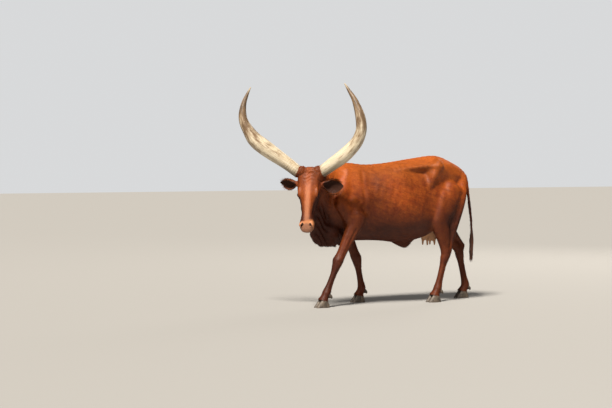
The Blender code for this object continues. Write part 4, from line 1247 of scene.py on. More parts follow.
@dataclass(frozen=True)
class HideFinish:
    """Red-brown hide and coat, with the markings that both carry, painted shade and painted highlights among
    them.
    """

    deep: Row = (0.088, 0.013, 0.004)
    chestnut: Row = (0.315, 0.054, 0.007)
    copper: Row = (0.57, 0.15, 0.018)
    # Dark brown of the painted shade under the body, on the lower neck, rump, dewlap and chin, and of the
    # darker legs and tail
    dusk: Row = (0.038, 0.008, 0.004)
    muzzle: Row = (0.53, 0.215, 0.09)
    pad: Row = (0.28, 0.125, 0.072)
    udder: Row = (0.46, 0.235, 0.12)
    lining: Row = (0.038, 0.012, 0.006)
    # Near-black of the lid skin round the eyes and of the painted shade inside the nostril pits
    rim: Row = (0.012, 0.006, 0.005)
    # Painted sheen down the bridge of the nose
    stripe: Row = (0.52, 0.21, 0.1)

    def colour(self, paint: Paint) -> Socket:
        """Colour of the hide at any place, the same for skin and coat.

        Args:
            paint: the material that the nodes go into.

        Returns:
            The colour socket.
        """
        broad = paint.level(paint.noise(2.3, 4.0), 0.3, 0.68)
        fleck = paint.level(paint.noise(21.0, 3.0, 0.6), 0.3, 0.7)
        tone = paint.mix(broad, self.deep, self.chestnut)
        tone = paint.tint(tone, self.copper, fleck, 0.3)
        # Painted highlight: copper along the top of the body and on the front of the face, and copper on the
        # ear edges
        tone = paint.tint(tone, self.copper, paint.mask("glow"), 0.55)
        streaks = paint.strands((4.5, 4.5, 30.0), (0.0, 0.3, 0.0))
        streaks = paint.times(paint.level(streaks, 0.47, 0.64), paint.mask("streak"))
        tone = paint.tint(tone, self.deep, streaks, 0.42)
        # Colours laid over in turn by their masks, among them painted shade and a painted sheen on the nose
        for name in ("dusk", "stripe", "udder", "lining", "muzzle", "pad", "rim"):
            tone = paint.mix(paint.mask(name), tone, getattr(self, name))
        return tone

    def skin(self) -> bpy.types.Material:
        """Material of the skin, with the flat coat's streaks as bump.

        Returns:
            The material.
        """
        paint = Paint("hide")
        colour = self.colour(paint)
        streaks = paint.strands((16.0, 210.0, 210.0), (0.0, 0.35, 0.0))
        down = paint.strands((230.0, 230.0, 18.0))
        legs = paint.mask("upright")
        height = paint.plus(paint.times(streaks, paint.minus(1.0, legs)), paint.times(down, legs))
        shade = paint.grey(paint.level(height, 0.3, 0.7, 0.72, 1.22))
        shaded = paint.mix(1.0, colour, shade, "MULTIPLY")
        colour = paint.mix(paint.minus(1.0, paint.mask("pad")), colour, shaded)
        hair = paint.bump(height, 0.55, 0.0022)
        pebbles = paint.add("ShaderNodeTexVoronoi", {"Vector": paint.place, "Scale": 330.0})
        pores = paint.times(pebbles.outputs["Distance"], paint.mask("pad"))
        wet = paint.level(paint.mask("pad"), 0.0, 1.0, 0.55, 0.3)
        gloss = paint.plus(wet, paint.times(paint.mask("lining"), 0.4))
        paint.set(Base_Color=colour, Roughness=gloss, Specular_IOR_Level=0.26,
                  Normal=paint.bump(pores, 0.5, 0.0016, hair))
        return paint.material

    def coat(self) -> bpy.types.Material:
        """Material of the tufts, lighter and darker from tuft to tuft.

        Returns:
            The material.
        """
        paint = Paint("coat")
        tone = paint.grey(paint.level(paint.mask("tone"), 0.0, 1.0, 0.74, 1.34))
        colour = paint.mix(1.0, self.colour(paint), tone, "MULTIPLY")
        paint.set(Base_Color=colour, Roughness=0.48, Specular_IOR_Level=0.24)
        return paint.material


@dataclass(frozen=True)
class LongHairFinish:
    """Long dark hair of the tail's switch, with redder streaks that vary from lock to lock."""

    dark: Row = (0.03, 0.012, 0.008)
    light: Row = (0.15, 0.048, 0.02)

    def material(self) -> bpy.types.Material:
        """Material of the locks.

        Returns:
            The material.
        """
        paint = Paint("long_hair")
        fine = paint.strands((260.0, 260.0, 9.0), detail=2.0, rough=0.5)
        tone = paint.level(paint.mask("tone"), 0, 1, 0.3, 1.0)
        share = paint.times(paint.level(fine, 0.35, 0.7), tone)
        paint.set(Base_Color=paint.mix(share, self.dark, self.light), Roughness=0.45,
                  Specular_IOR_Level=0.5, Normal=paint.bump(fine, 0.5, 0.001))
        return paint.material


@dataclass(frozen=True)
class HornFinish:
    """Cream horn that turns grey-brown and mottled towards a pale tip."""

    cream: Row = (0.59, 0.47, 0.3)
    ivory: Row = (0.75, 0.68, 0.54)
    ochre: Row = (0.24, 0.122, 0.046)
    grey: Row = (0.115, 0.064, 0.03)
    dark: Row = (0.07, 0.05, 0.036)
    tip: Row = (0.56, 0.46, 0.32)

    def material(self) -> bpy.types.Material:
        """Material of the horn's sheath, patterned along and round it.

        Returns:
            The material.
        """
        paint = Paint("horn_sheath")
        along, turn = paint.mask("along"), paint.times(paint.mask("round"), 2 * math.pi)
        ring = paint.combined(paint.math("COSINE", turn), paint.math("SINE", turn), paint.times(along, 1.6))

        def grain(scale: float, detail: float, rough: float, stretch: Row) -> Socket:
            """Noise laid round the horn, stretched across and along it."""
            return paint.noise(scale, detail, rough, paint.vector("MULTIPLY", ring, stretch))

        fibres = grain(9.0, 5.0, 0.65, (1.0, 1.0, 0.22))
        blots = grain(2.6, 5.0, 0.62, (0.8, 0.8, 2.6))
        colour = paint.mix(paint.level(fibres, 0.35, 0.68), self.cream, self.ivory)
        stain = paint.level(blots, 0.5, 0.72)
        colour = paint.tint(colour, self.ochre, stain, 0.5)
        hairlines = grain(16.0, 4.0, 0.7, (1.0, 1.0, 0.16))
        colour = paint.tint(colour, self.grey, paint.level(hairlines, 0.52, 0.7), 0.6)
        upper = paint.level(paint.plus(along, paint.level(blots, 0.3, 0.7, -0.24, 0.24)), 0.3, 0.66)
        mottled = paint.mix(paint.level(fibres, 0.42, 0.66), self.grey, self.ochre)
        colour = paint.tint(colour, mottled, upper, 0.9)
        soot = paint.times(paint.level(blots, 0.44, 0.58), paint.level(along, 0.5, 0.8))
        colour = paint.tint(colour, self.dark, soot, 0.8)
        flecks = grain(5.0, 6.0, 0.7, (1.0, 1.0, 3.0))
        colour = paint.tint(colour, self.grey, paint.level(flecks, 0.54, 0.7), 0.55)
        colour = paint.tint(colour, self.tip, paint.level(along, 0.93, 0.99), 0.7)
        # Painted shade on the underside near the base, and dirt round the root
        grime = paint.times(paint.mask("grime"), paint.level(fibres, 0.25, 0.6))
        colour = paint.mix(grime, colour, self.dark)
        rings = grain(30.0, 2.0, 0.5, (0.05, 0.05, 1.0))
        relief = paint.bump(fibres, 0.35, 0.002, paint.bump(rings, 0.3, 0.0024))
        paint.set(Base_Color=colour, Roughness=paint.level(fibres, 0.3, 0.7, 0.36, 0.52),
                  Specular_IOR_Level=0.34, Normal=relief)
        return paint.material


@dataclass(frozen=True)
class ClawFinish:
    """Dark claw horn, streaked paler and dusty."""

    dark: Row = (0.035, 0.027, 0.022)
    pale: Row = (0.15, 0.115, 0.085)
    dust: Row = (0.3, 0.23, 0.16)

    def material(self) -> bpy.types.Material:
        """Material of the claws and dewclaws.

        Returns:
            The material.
        """
        paint = Paint("claw_horn")
        streaks = paint.strands((170.0, 170.0, 14.0), detail=4.0)
        bands = paint.strands((6.0, 6.0, 190.0), detail=2.0, rough=0.5)
        dust = paint.level(paint.noise(34.0, 4.0), 0.42, 0.72)
        colour = paint.mix(paint.level(streaks, 0.35, 0.75), self.dark, self.pale)
        colour = paint.tint(colour, self.dust, dust, 0.35)
        paint.set(Base_Color=colour, Roughness=0.52, Specular_IOR_Level=0.4,
                  Normal=paint.bump(streaks, 0.35, 0.001, paint.bump(bands, 0.4, 0.0014)))
        return paint.material


@dataclass(frozen=True)
class EyeFinish:
    """Dark brown eye with a lying pupil, wet and clear."""

    iris: Row = (0.018, 0.008, 0.004)
    glow: Row = (0.045, 0.018, 0.008)
    pupil: Row = (0.003, 0.003, 0.004)
    white: Row = (0.06, 0.03, 0.02)

    def material(self) -> bpy.types.Material:
        """Material of the eyeball, patterned round its own gaze.

        Returns:
            The material.
        """
        paint = Paint("wet_eye")
        gaze = paint.add("ShaderNodeAttribute", attribute_name="gaze").outputs["Vector"]
        split = paint.add("ShaderNodeSeparateXYZ", {0: gaze})
        away, slit = (paint.vector("LENGTH", paint.vector("MULTIPLY", gaze, scale), output="Value")
                      for scale in ((1.0, 1.0, 0.0), (1.0, 1.9, 0.0)))
        rays = paint.noise(1.0, 4.0, 0.6, paint.vector("MULTIPLY", gaze, (9.0, 9.0, 2.0)))
        colour = paint.mix(paint.level(rays, 0.35, 0.7), self.iris, self.glow)
        colour = paint.mix(paint.level(slit, 0.5, 0.42), colour, self.pupil)
        colour = paint.mix(paint.level(away, 0.66, 0.76), colour, self.pupil)
        colour = paint.mix(paint.level(away, 0.8, 0.9), colour, self.white)
        colour = paint.mix(paint.level(split.outputs[2], 0.1, -0.1), colour, self.pupil)
        paint.set(Base_Color=colour, Roughness=0.05, Specular_IOR_Level=0.14, Coat_Weight=0.03,
                  Coat_Roughness=0.04)
        return paint.material


@dataclass(frozen=True)
class FloorFinish:
    """Pale matt studio floor."""

    pale: Row = (0.35, 0.34, 0.325)

    def material(self) -> bpy.types.Material:
        """Material of the floor.

        Returns:
            The material.
        """
        paint = Paint("studio_floor")
        paint.set(Base_Color=(*self.pale, 1.0), Roughness=0.85, Specular_IOR_Level=0.2)
        return paint.material


def dress(piece: Thing, material: bpy.types.Material, slot: Slot, *nodes: str) -> None:
    """Give a finished piece its material and body, and hide the frame nodes that it stands for.

    Args:
        piece: the finished mesh object.
        material: what it is made of.
        slot: not used.
        nodes: frame nodes that it replaces.
    """
    piece.data.materials.clear()
    piece.data.materials.append(material)
    piece.data.shade_smooth()
    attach(piece, ROOT)
    if nodes:
        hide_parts(*nodes)
    piece.data.calc_loop_triangles()
    LOG.info("%s: %d triangles", piece.name, len(piece.data.loop_triangles))


# Hollows as middle, reach and depth, and grooves as path, width and depth, on the left side.
# A negative depth stands for a swelling or a ridge.
TRUNK_HOLLOWS = (
    ((-0.215, 0.22, 1.14), (0.12, 0.14, 0.08), 0.008),
    ((-0.58, 0.19, 1.17), (0.11, 0.1, 0.06), 0.012),
    ((0.29, 0.2, 1.12), (0.075, 0.1, 0.12), 0.012),
    ((-0.33, 0.225, 0.9), (0.07, 0.1, 0.11), 0.014),
    ((0.3, 0.23, 0.8), (0.05, 0.08, 0.12), 0.008),
    ((-0.5, 0.18, 0.86), (0.05, 0.08, 0.1), 0.006),
    ((0.5, 0.16, 1.08), (0.045, 0.08, 0.09), -0.005))
TRUNK_GROOVES = (
    (((0.33, 0.12, 1.18), (0.35, 0.2, 1.05), (0.345, 0.21, 0.88), (0.37, 0.21, 0.76)), 0.02, 0.006),
    (((0.5, 0.1, 1.17), (0.59, 0.15, 1.04), (0.64, 0.17, 0.93)), 0.022, 0.007),
    (((0.4, 0.21, 0.92), (0.48, 0.22, 0.85), (0.53, 0.21, 0.76)), 0.018, 0.005),
    (((-0.68, 0.14, 1.06), (-0.66, 0.18, 0.9), (-0.6, 0.19, 0.72)), 0.016, 0.006),
    (((-0.48, 0.19, 1.12), (-0.5, 0.2, 0.98), (-0.47, 0.21, 0.84)), 0.02, 0.005),
    (((-0.42, 0.19, 1.22), (-0.56, 0.17, 1.16), (-0.72, 0.11, 1.13)), 0.022, -0.004),
    (((-0.3, 0.21, 0.72), (-0.2, 0.2, 0.66), (-0.08, 0.17, 0.6)), 0.018, 0.004),
    (((0.33, 0.19, 0.72), (0.22, 0.21, 0.66), (0.1, 0.18, 0.6)), 0.02, 0.004))
VEINS = (
    (((-0.25, 0.13, 0.6), (-0.12, 0.16, 0.585), (0.02, 0.15, 0.578), (0.16, 0.16, 0.585), (0.26, 0.14, 0.6)),
     0.01, -0.0035),)
# The same in the head's own frame
HEAD_HOLLOWS = (
    ((0.165, 0.055, 0.01), (0.04, 0.02, 0.03), 0.004),
    ((0.145, 0.1, -0.045), (0.035, 0.03, 0.018), 0.008),
    ((0.275, 0.05, -0.02), (0.035, 0.02, 0.03), 0.006),
    ((0.37, 0.058, -0.048), (0.08, 0.02, 0.026), 0.01),
    ((0.34, 0.055, -0.11), (0.05, 0.02, 0.018), 0.006),
    ((0.2, 0.095, -0.16), (0.05, 0.03, 0.025), -0.004),
    ((0.507, 0.056, -0.02), (0.016, 0.014, 0.014), -0.004),
    ((0.528, 0.03, -0.05), (0.02, 0.02, 0.02), -0.003),
    ((0.47, 0.058, -0.08), (0.035, 0.02, 0.02), -0.004),
    ((0.262, 0.08, -0.062), (0.013, 0.012, 0.012), 0.0035))
HEAD_GROOVES = (
    (((0.2, 0.096, -0.012), (0.222, 0.101, -0.012), (0.246, 0.094, -0.016)), 0.0035, 0.003),
    (((0.192, 0.092, -0.002), (0.218, 0.096, 0.0), (0.248, 0.086, -0.004)), 0.0035, 0.0022),
    (((0.212, 0.098, -0.076), (0.236, 0.094, -0.08), (0.262, 0.084, -0.074)), 0.0035, 0.0028),
    (((0.206, 0.1, -0.088), (0.24, 0.092, -0.094), (0.276, 0.08, -0.086)), 0.004, 0.0022),
    (((0.262, 0.082, -0.055), (0.285, 0.072, -0.07), (0.33, 0.064, -0.082)), 0.0045, 0.0022),
    (((0.29, 0.07, -0.06), (0.35, 0.062, -0.072), (0.42, 0.058, -0.066)), 0.005, -0.0022),
    (((0.27, 0.036, 0.002), (0.38, 0.032, -0.004), (0.46, 0.034, -0.012)), 0.009, -0.0038),
    (((0.468, 0.05, -0.01), (0.484, 0.062, -0.034), (0.486, 0.064, -0.06)), 0.005, 0.003),
    (((0.42, 0.062, -0.1), (0.404, 0.062, -0.11), (0.392, 0.06, -0.118)), 0.004, 0.0025),
    (((0.12, 0.1, -0.12), (0.14, 0.104, -0.16), (0.19, 0.09, -0.205)), 0.008, 0.003),
    (((0.08, 0.085, -0.01), (0.11, 0.098, -0.04), (0.12, 0.1, -0.07)), 0.007, 0.004))


def beside(start: Row, end: Row, shares: Row, forward: float, aside: float) -> list[Row]:
    """Points between two joints, moved forward and aside."""
    return [(x + forward, y + aside, z) for x, y, z in (between(start, end, share) for share in shares)]


def blend(under: np.ndarray, over: object, share: np.ndarray) -> np.ndarray:
    """Rows that pass into others, or into one direction, by a share for each row."""
    share = share[:, None]
    return under * (1 - share) + np.array(over) * share


@dataclass
class Skin:
    """One closed skin over all the flesh, with the masks that paint it and guide the coat."""

    cow: Cow
    body_voxel: float = 0.0078
    head_voxel: float = 0.0028
    body_triangles: int = 98000
    head_triangles: int = 88000
    coat_depth: float = 0.004
    face_depth: float = 0.0015
    nape_rounds: int = 60
    nostril_voxel: float = 0.0014
    smooth_rounds: int = 7
    trunk_rounds: int = 26
    seam_overlap: float = 0.009
    seam_band: float = 0.022
    seam_reach: float = 0.35
    seam_rounds: int = 6
    rib_spacing: float = 0.064
    spine_spacing: float = 0.052
    loin_spacing: float = 0.05
    dewlap_spacing: float = 0.058
    tile_side: int = 8
    tile_margin: float = 0.03
    piece: Thing | None = None
    points: np.ndarray | None = None
    normals: np.ndarray | None = None
    masks: dict[str, np.ndarray] = field(default_factory=dict)

    def build(self) -> Thing:
        """Make the skin in the forms' own frame.

        Returns:
            The skin's object.
        """
        body, head = self.make_body(), self.make_head()
        LOG.info("body %d and head %d faces", len(body.data.polygons), len(head.data.polygons))
        self.piece = self.join(body, head)
        self.cut_coronets()
        self.read()
        self.paint_masks()
        self.lay_hair()
        self.store()
        self.unwrap()
        return self.piece

    def head_parts(self) -> list[Shape]:
        """The head's flesh, ears and horn collars, in the cow's frame.

        Returns:
            The volumes.
        """
        place = self.cow.head.place()
        made = [carried(shape, place) for shape in self.cow.head.shapes()]
        for name in SIDES:
            made += self.cow.ears[name].shapes()
            made.append(self.cow.horns[name].collar())
        return made

    def make_body(self) -> Thing:
        """Trunk, neck, legs and tail, fused and modelled.

        Returns:
            The body's surface.
        """
        shapes = self.cow.trunk.shapes() + self.cow.neck.shapes() + self.cow.tail.shapes()
        for leg in self.cow.legs.values():
            shapes += leg.shapes(self.cow.trunk)
        body = weld(new_piece("body_skin", shapes + self.head_parts()), self.body_voxel)
        soften(body, self.smooth_rounds)
        places = Sculpt(body).points
        off_tail = path_distance(places, self.cow.tail.line[2:]) > 0.055
        soften(body, self.trunk_rounds, (places[:, 2] > 0.64) & off_tail & (self.seam_side(places) < 0.05))
        sculpt = Sculpt(body)
        self.model_trunk(sculpt)
        self.model_neck(sculpt)
        sculpt.write()
        self.model_legs(sculpt)
        sculpt.write()
        sculpt.raise_by(-self.coat_depth * (0.4 + 0.6 * fade(sculpt.points[:, 2], 0.45, 0.72)))
        sculpt.write()
        return thin_out(body, self.body_triangles)

    def model_trunk(self, sculpt: Sculpt) -> None:
        """Hollows, ribs, bones and folds of the trunk, the same on both sides.

        Args:
            sculpt: the body's surface.
        """
        points = sculpt.points
        sculpt.both_sides(TRUNK_HOLLOWS, TRUNK_GROOVES)
        x, y, z = points.T
        flank = fade(np.abs(y), 0.1, 0.17) * fade(x, -0.3, -0.2) * fade(x, 0.32, 0.22)
        flank *= fade(z, 0.68, 0.76) * fade(z, 1.15, 1.06)
        slant = x + 0.38 * (z - 0.95) + 0.1 * (z - 0.95) ** 2
        sculpt.raise_by(0.0005 * np.cos(2 * math.pi * slant / self.rib_spacing) * flank)
        ridge = fade(np.abs(y), 0.03, 0.008) * fade(z, 1.1, 1.18) * fade(x, 0.6, 0.5)
        sculpt.raise_by(0.0006 * np.cos(2 * math.pi * x / self.spine_spacing + np.sin(x * 9)) * ridge)
        shelf = np.minimum.reduce([path_distance(points, flipped(self.cow.trunk.loin_shelf, side))
                                   for side in SIDES.values()])
        sculpt.raise_by(0.0008 * np.cos(2 * math.pi * x / self.loin_spacing) * fade(shelf, 0.06, 0.03))
        seat = fade(x, -0.74, -0.79) * fade(np.abs(y), 0.022, 0.004)
        sculpt.raise_by(-0.008 * (seat * fade(z, 0.86, 0.94) * fade(z, 1.1, 1.03)))
        sculpt.both_sides((), VEINS)

    def model_neck(self, sculpt: Sculpt) -> None:
        """Folds of the neck where the head turns, and the dewlap's edge.

        Args:
            sculpt: the body's surface.
        """
        for start, end, depth in (((0.615, 0.11, 1.13), (0.65, 0.14, 0.86), 0.005),
                                  ((0.672, 0.14, 1.15), (0.705, 0.17, 0.9), 0.007),
                                  ((0.722, 0.17, 1.15), (0.75, 0.19, 0.93), 0.007),
                                  ((0.768, 0.2, 1.15), (0.79, 0.215, 0.96), 0.006)):
            sculpt.groove((start, between(start, end, 0.5), end), 0.01, depth)
        for line in (((0.62, -0.09, 1.12), (0.72, -0.05, 0.88)), ((0.72, -0.05, 1.14), (0.8, 0.0, 0.92))):
            sculpt.groove(line, 0.02, 0.004)
        x, _, z = sculpt.points.T
        away = path_distance(sculpt.points, self.cow.neck.dewlap)
        low = fade(away, 0.15, 0.06) * fade(z, 1.0, 0.84)
        along = z * 0.8 - x * 0.6 + 0.02 * np.sin(x * 31)
        sculpt.raise_by(0.0045 * np.sin(2 * math.pi * along / self.dewlap_spacing) * low)

    def model_legs(self, sculpt: Sculpt) -> None:
        """Tendons, joints and folds of the legs.

        Args:
            sculpt: the body's surface.
        """
        for leg in self.cow.legs.values():
            upper, fetlock = leg.joints["hock" if leg.hind else "knee"], leg.joints["fetlock"]
            for side in SIDES.values():
                sculpt.groove(beside(upper, fetlock, (0.18, 0.5, 0.86), -0.01, 0.028 * side), 0.0085, 0.0055)
                x, y, z = upper
                sculpt.dent((x + 0.005, y + 0.045 * side, z + 0.015), (0.022, 0.02, 0.022), -0.004)
                x, y, z = fetlock
                sculpt.dent((x, y + 0.036 * side, z + 0.004), (0.018, 0.018, 0.018), -0.003)
            x, y, z = upper
            if not leg.hind:
                sculpt.dent((x + 0.045, y, z + 0.02), (0.025, 0.03, 0.02), -0.004)
                sculpt.groove(((x + 0.05, y - 0.04, z - 0.018), (x + 0.06, y, z - 0.02),
                               (x + 0.05, y + 0.04, z - 0.018)), 0.007, 0.004)
                for forward, aside, width, depth in ((-0.012, 0.05, 0.012, 0.006), (0.03, 0.04, 0.01, 0.003)):
                    sculpt.groove(beside(leg.joints["elbow"], upper, (0.15, 0.5, 0.85), forward,
                                         aside * leg.side), width, depth)
            else:
                for side in SIDES.values():
                    sculpt.groove(beside(leg.joints["calf"], leg.hock_tip(), (0.25, 0.6, 0.92), 0.026,
                                         0.03 * side), 0.014, 0.0045)
                sculpt.groove(((x + 0.04, y - 0.03, z - 0.01), (x + 0.05, y, z - 0.012),
                               (x + 0.04, y + 0.03, z - 0.01)), 0.007, 0.004)

    def make_head(self) -> Thing:
        """Head, ears and upper neck, finer than the body.

        Returns:
            The head's surface.
        """
        cow, place = self.cow, self.cow.head.place()
        shapes = self.head_parts() + cow.neck.shapes()
        head = weld(new_piece("head_skin", shapes), self.head_voxel)
        keep = self.seam_side(np.array([vertex.co[:] for vertex in head.data.vertices]))
        self.drop(head, keep < -0.03)
        for side in SIDES.values():
            pit = new_piece("nostril", [carried(self.nostril(side), place)])
            carve(head, weld(pit, self.nostril_voxel))
        soften(head, self.smooth_rounds)
        places = Sculpt(head).points
        local = self.in_head(places)
        behind = (local[:, 2] < -0.085) & (local[:, 0] < 0.16)
        for ear in cow.ears.values():
            behind &= self.in_ear(ear, places) < 0.3
        for horn in cow.horns.values():
            behind &= np.linalg.norm(places - horn.root(), axis=1) > 0.075
        soften(head, self.nape_rounds, behind)
        sculpt = Sculpt(head)
        self.model_head(sculpt)
        sculpt.write()
        local = self.in_head(sculpt.points)
        depth = np.where(local[:, 0] > -0.02, self.face_depth, self.coat_depth)
        for ear in cow.ears.values():
            depth = np.where(self.in_ear(ear, sculpt.points) > 0.5, 0.0004, depth)
        sculpt.raise_by(-depth)
        sculpt.write()
        thin_out(head, self.head_triangles)
        for side in SIDES.values():
            eye = place @ cow.head.eye_frame(side)[0]
            carve(head, new_piece("socket", [ball(eye, (cow.head.eye_radius + 0.0003,) * 3, rings=24)]))
        return head

    def nostril(self, side: int) -> Shape:
        """Comma-shaped pit of a nostril, in the head's frame."""
        rows = ((0.484, 0.029, -0.002, 0.005), (0.497, 0.029, -0.01, 0.0085), (0.509, 0.036, -0.022, 0.01),
                (0.51, 0.05, -0.034, 0.0075), (0.501, 0.061, -0.044, 0.004))
        return loft([(x, y * side, z, r, r * 1.2, r * 1.2) for x, y, z, r in rows], lateral=(0.6, 0.0, 0.8),
                    sides=14, steps=3)

    def model_head(self, sculpt: Sculpt) -> None:
        """Bones, folds and lips of the head, in the head's own frame.

        Args:
            sculpt: the head's surface.
        """
        head = self.cow.head
        world, place = sculpt.points.copy(), head.place()
        turn = np.array(place.to_3x3())
        mouth = [place.inverted() @ point for point in self.mouth_line(sculpt.piece)]
        sculpt.points = self.in_head(world)
        sculpt.normals = sculpt.normals @ turn
        front = fade(sculpt.points[:, 0], 0.36, 0.42)
        sculpt.groove(mouth, 0.0032, 0.0062)
        lips = path_distance(sculpt.points, mouth)
        sculpt.raise_by(0.0022 * np.exp(-((lips - 0.0085) / 0.0045) ** 2) * front)
        sculpt.both_sides(HEAD_HOLLOWS, HEAD_GROOVES)
        sculpt.groove(((0.52, 0.0, -0.02), (0.545, 0.0, -0.05), (0.552, 0.0, -0.085)), 0.004, 0.0022)
        sculpt.groove(((0.0, 0.0, -0.02), (0.07, 0.0, 0.01), (0.15, 0.0, 0.01)), 0.014, 0.003)
        along, across, out = sculpt.points.T
        brow = fade(np.abs(across), 0.06, 0.03) * fade(out, -0.05, -0.02)
        curls = np.sin(along * 190 + 3 * np.sin(across * 60)) * fade(along, 0.16, 0.08)
        sculpt.raise_by(0.0012 * curls * brow)
        sculpt.points = sculpt.points @ turn.T + np.array(place.translation)

    def mouth_line(self, head_piece: Thing) -> list[Vector]:
        """Points on the skin from one corner of the mouth round the muzzle to the other.

        Args:
            head_piece: the head's surface to read.

        Returns:
            The points in the cow's frame.
        """
        head, place = self.cow.head, self.cow.head.place()
        mesh = head_piece.data
        skin = BVHTree.FromPolygons([vertex.co[:] for vertex in mesh.vertices],
                                    [face.vertices[:] for face in mesh.polygons])
        rays = []
        for step in range(6):
            share = step / 6
            start = (head.mouth_corner[0] + (head.mouth_turn - head.mouth_corner[0]) * share, 0.0,
                     head.mouth_corner[1] + (head.mouth_front - head.mouth_corner[1]) * share)
            rays.append((Vector(start), Vector((0.0, 1.0, 0.0))))
        for step in range(13):
            angle = math.pi / 2 * (1 - step / 12)
            rays.append((Vector((head.mouth_turn, 0.0, head.mouth_front)),
                         Vector((math.cos(angle), math.sin(angle), 0.0))))
        half = [place.inverted() @ skin.ray_cast(place @ start, place.to_3x3() @ way)[0]
                for start, way in rays]
        other = [Vector((point.x, -point.y, point.z)) for point in reversed(half[:-1])]
        return [place @ point for point in half + other]

    def in_head(self, points: np.ndarray) -> np.ndarray:
        """Points in the head's own frame."""
        place = self.cow.head.place()
        return (points - np.array(place.translation)) @ np.array(place.to_3x3())

    def in_ear(self, ear: EarForm, points: np.ndarray) -> np.ndarray:
        """How far each point belongs to an ear, from 0 to 1.

        Args:
            ear: the ear in question.
            points: rows of x, y, z in the cow's frame.

        Returns:
            One share for each point.
        """
        share, aside, out = ear.local(points).T
        inside = fade(share, -0.06, 0.1) * fade(share, 1.25, 1.08)
        return inside * fade(np.abs(aside), 0.1, 0.085) * fade(np.abs(out), 0.065, 0.05)

    def seam_side(self, points: np.ndarray) -> np.ndarray:
        """Signed distance of points from the hidden joint in the neck, more towards the head."""
        facing = unit(np.array(self.cow.neck.seam_facing))
        return (points - np.array(self.cow.neck.seam)) @ facing

    def drop(self, piece: Thing, doomed: np.ndarray) -> None:
        """Delete some points of a mesh with their faces.

        Args:
            piece: the mesh.
            doomed: whether each of its points goes.
        """
        with opened(piece) as work:
            work.verts.ensure_lookup_table()
            doomed_points = [work.verts[index] for index in np.flatnonzero(doomed)]
            bmesh.ops.delete(work, geom=doomed_points, context="VERTS")

    def join(self, body: Thing, head: Thing) -> Thing:
        """Cut body and head at the hidden joint and zip them into one skin.

        Args:
            body: the body's surface.
            head: the head's surface.

        Returns:
            The joined skin.
        """
        seam, facing = Vector(self.cow.neck.seam), Vector(self.cow.neck.seam_facing).normalized()
        work = bmesh.new()
        neck = seam + facing * self.seam_overlap
        for piece, start, keep_front in ((body, seam, False), (head, neck, True)):
            with opened(piece) as part:
                everything = part.verts[:] + part.edges[:] + part.faces[:]
                bmesh.ops.bisect_plane(part, geom=everything, plane_co=start, plane_no=facing,
                                       clear_inner=keep_front, clear_outer=not keep_front)
                self.keep_largest(part)
            work.from_mesh(piece.data)
            discard(piece)
        self.zip_up(work, facing)
        work.verts.ensure_lookup_table()
        near = [vertex for vertex in work.verts if abs((vertex.co - seam).dot(facing)) < self.seam_band
                and (vertex.co - seam).length < self.seam_reach]
        for _ in range(self.seam_rounds):
            bmesh.ops.smooth_vert(work, verts=near, factor=0.5, use_axis_x=True, use_axis_y=True,
                                  use_axis_z=True)
        bmesh.ops.triangulate(work, faces=work.faces)
        mesh = bpy.data.meshes.new("skin")
        work.to_mesh(mesh)
        work.free()
        return linked("skin", mesh)

    def open_loops(self, work: bmesh.types.BMesh) -> list[list[bmesh.types.BMVert]]:
        """The two longest open edges of a mesh, each as its points in order.

        Args:
            work: the open mesh.

        Returns:
            The two loops.
        """
        seen, loops = set(), []
        for edge in work.edges:
            if not edge.is_boundary or edge in seen:
                continue
            seen.add(edge)
            loop = [edge.verts[0], edge.verts[1]]
            while True:
                ahead = [other for other in loop[-1].link_edges if other.is_boundary and other not in seen]
                if not ahead:
                    break
                seen.add(ahead[0])
                loop.append(ahead[0].other_vert(loop[-1]))
            loops.append(loop[:-1])
        loops.sort(key=len, reverse=True)
        return loops[:2]

    def zip_up(self, work: bmesh.types.BMesh, facing: Vector) -> None:
        """Close the gap between two open edges with triangles, always over the nearer pair of points.

        Args:
            work: the mesh with the gap.
            facing: the way from the body to the head.
        """
        first, second = self.open_loops(work)
        start = first[0].co
        nearest = min(range(len(second)), key=lambda index: (second[index].co - start).length)
        second = second[nearest:] + second[:nearest]
        turns = []
        for loop in (first, second):
            middle = sum((vertex.co for vertex in loop), Vector()) / len(loop)
            turns.append(sum((one.co - middle).cross(two.co - middle).dot(facing)
                             for one, two in zip(loop, loop[1:])) > 0)
        if turns[0] != turns[1]:
            second = second[:1] + second[:0:-1]
        left = right = 0
        while left < len(first) or right < len(second):
            here, there = first[left % len(first)], second[right % len(second)]
            ahead, beyond = first[(left + 1) % len(first)], second[(right + 1) % len(second)]
            closer = (ahead.co - there.co).length <= (beyond.co - here.co).length
            if right >= len(second) or (left < len(first) and closer):
                work.faces.new((here, ahead, there))
                left += 1
            else:
                work.faces.new((here, beyond, there))
                right += 1

    def keep_largest(self, work: bmesh.types.BMesh) -> None:
        """Leave only the largest connected part of a mesh.

        Args:
            work: the mesh to clear.
        """
        unseen, groups = set(work.verts), []
        while unseen:
            queue, group = [unseen.pop()], []
            while queue:
                vertex = queue.pop()
                group.append(vertex)
                for edge in vertex.link_edges:
                    other = edge.other_vert(vertex)
                    if other in unseen:
                        unseen.remove(other)
                        queue.append(other)
            groups.append(group)
        groups.sort(key=len)
        for group in groups[:-1]:
            bmesh.ops.delete(work, geom=group, context="VERTS")

    def cut_coronets(self) -> None:
        """End each leg in a flat face just above its claws."""
        with opened(self.piece) as work:
            for leg in self.cow.legs.values():
                ankle, facing = Vector(leg.ankle()), Vector(leg.coronet_facing())
                foot = [face for face in work.faces if face.calc_center_median().z < 0.16
                        and (face.calc_center_median().xy - ankle.xy).length < 0.13]
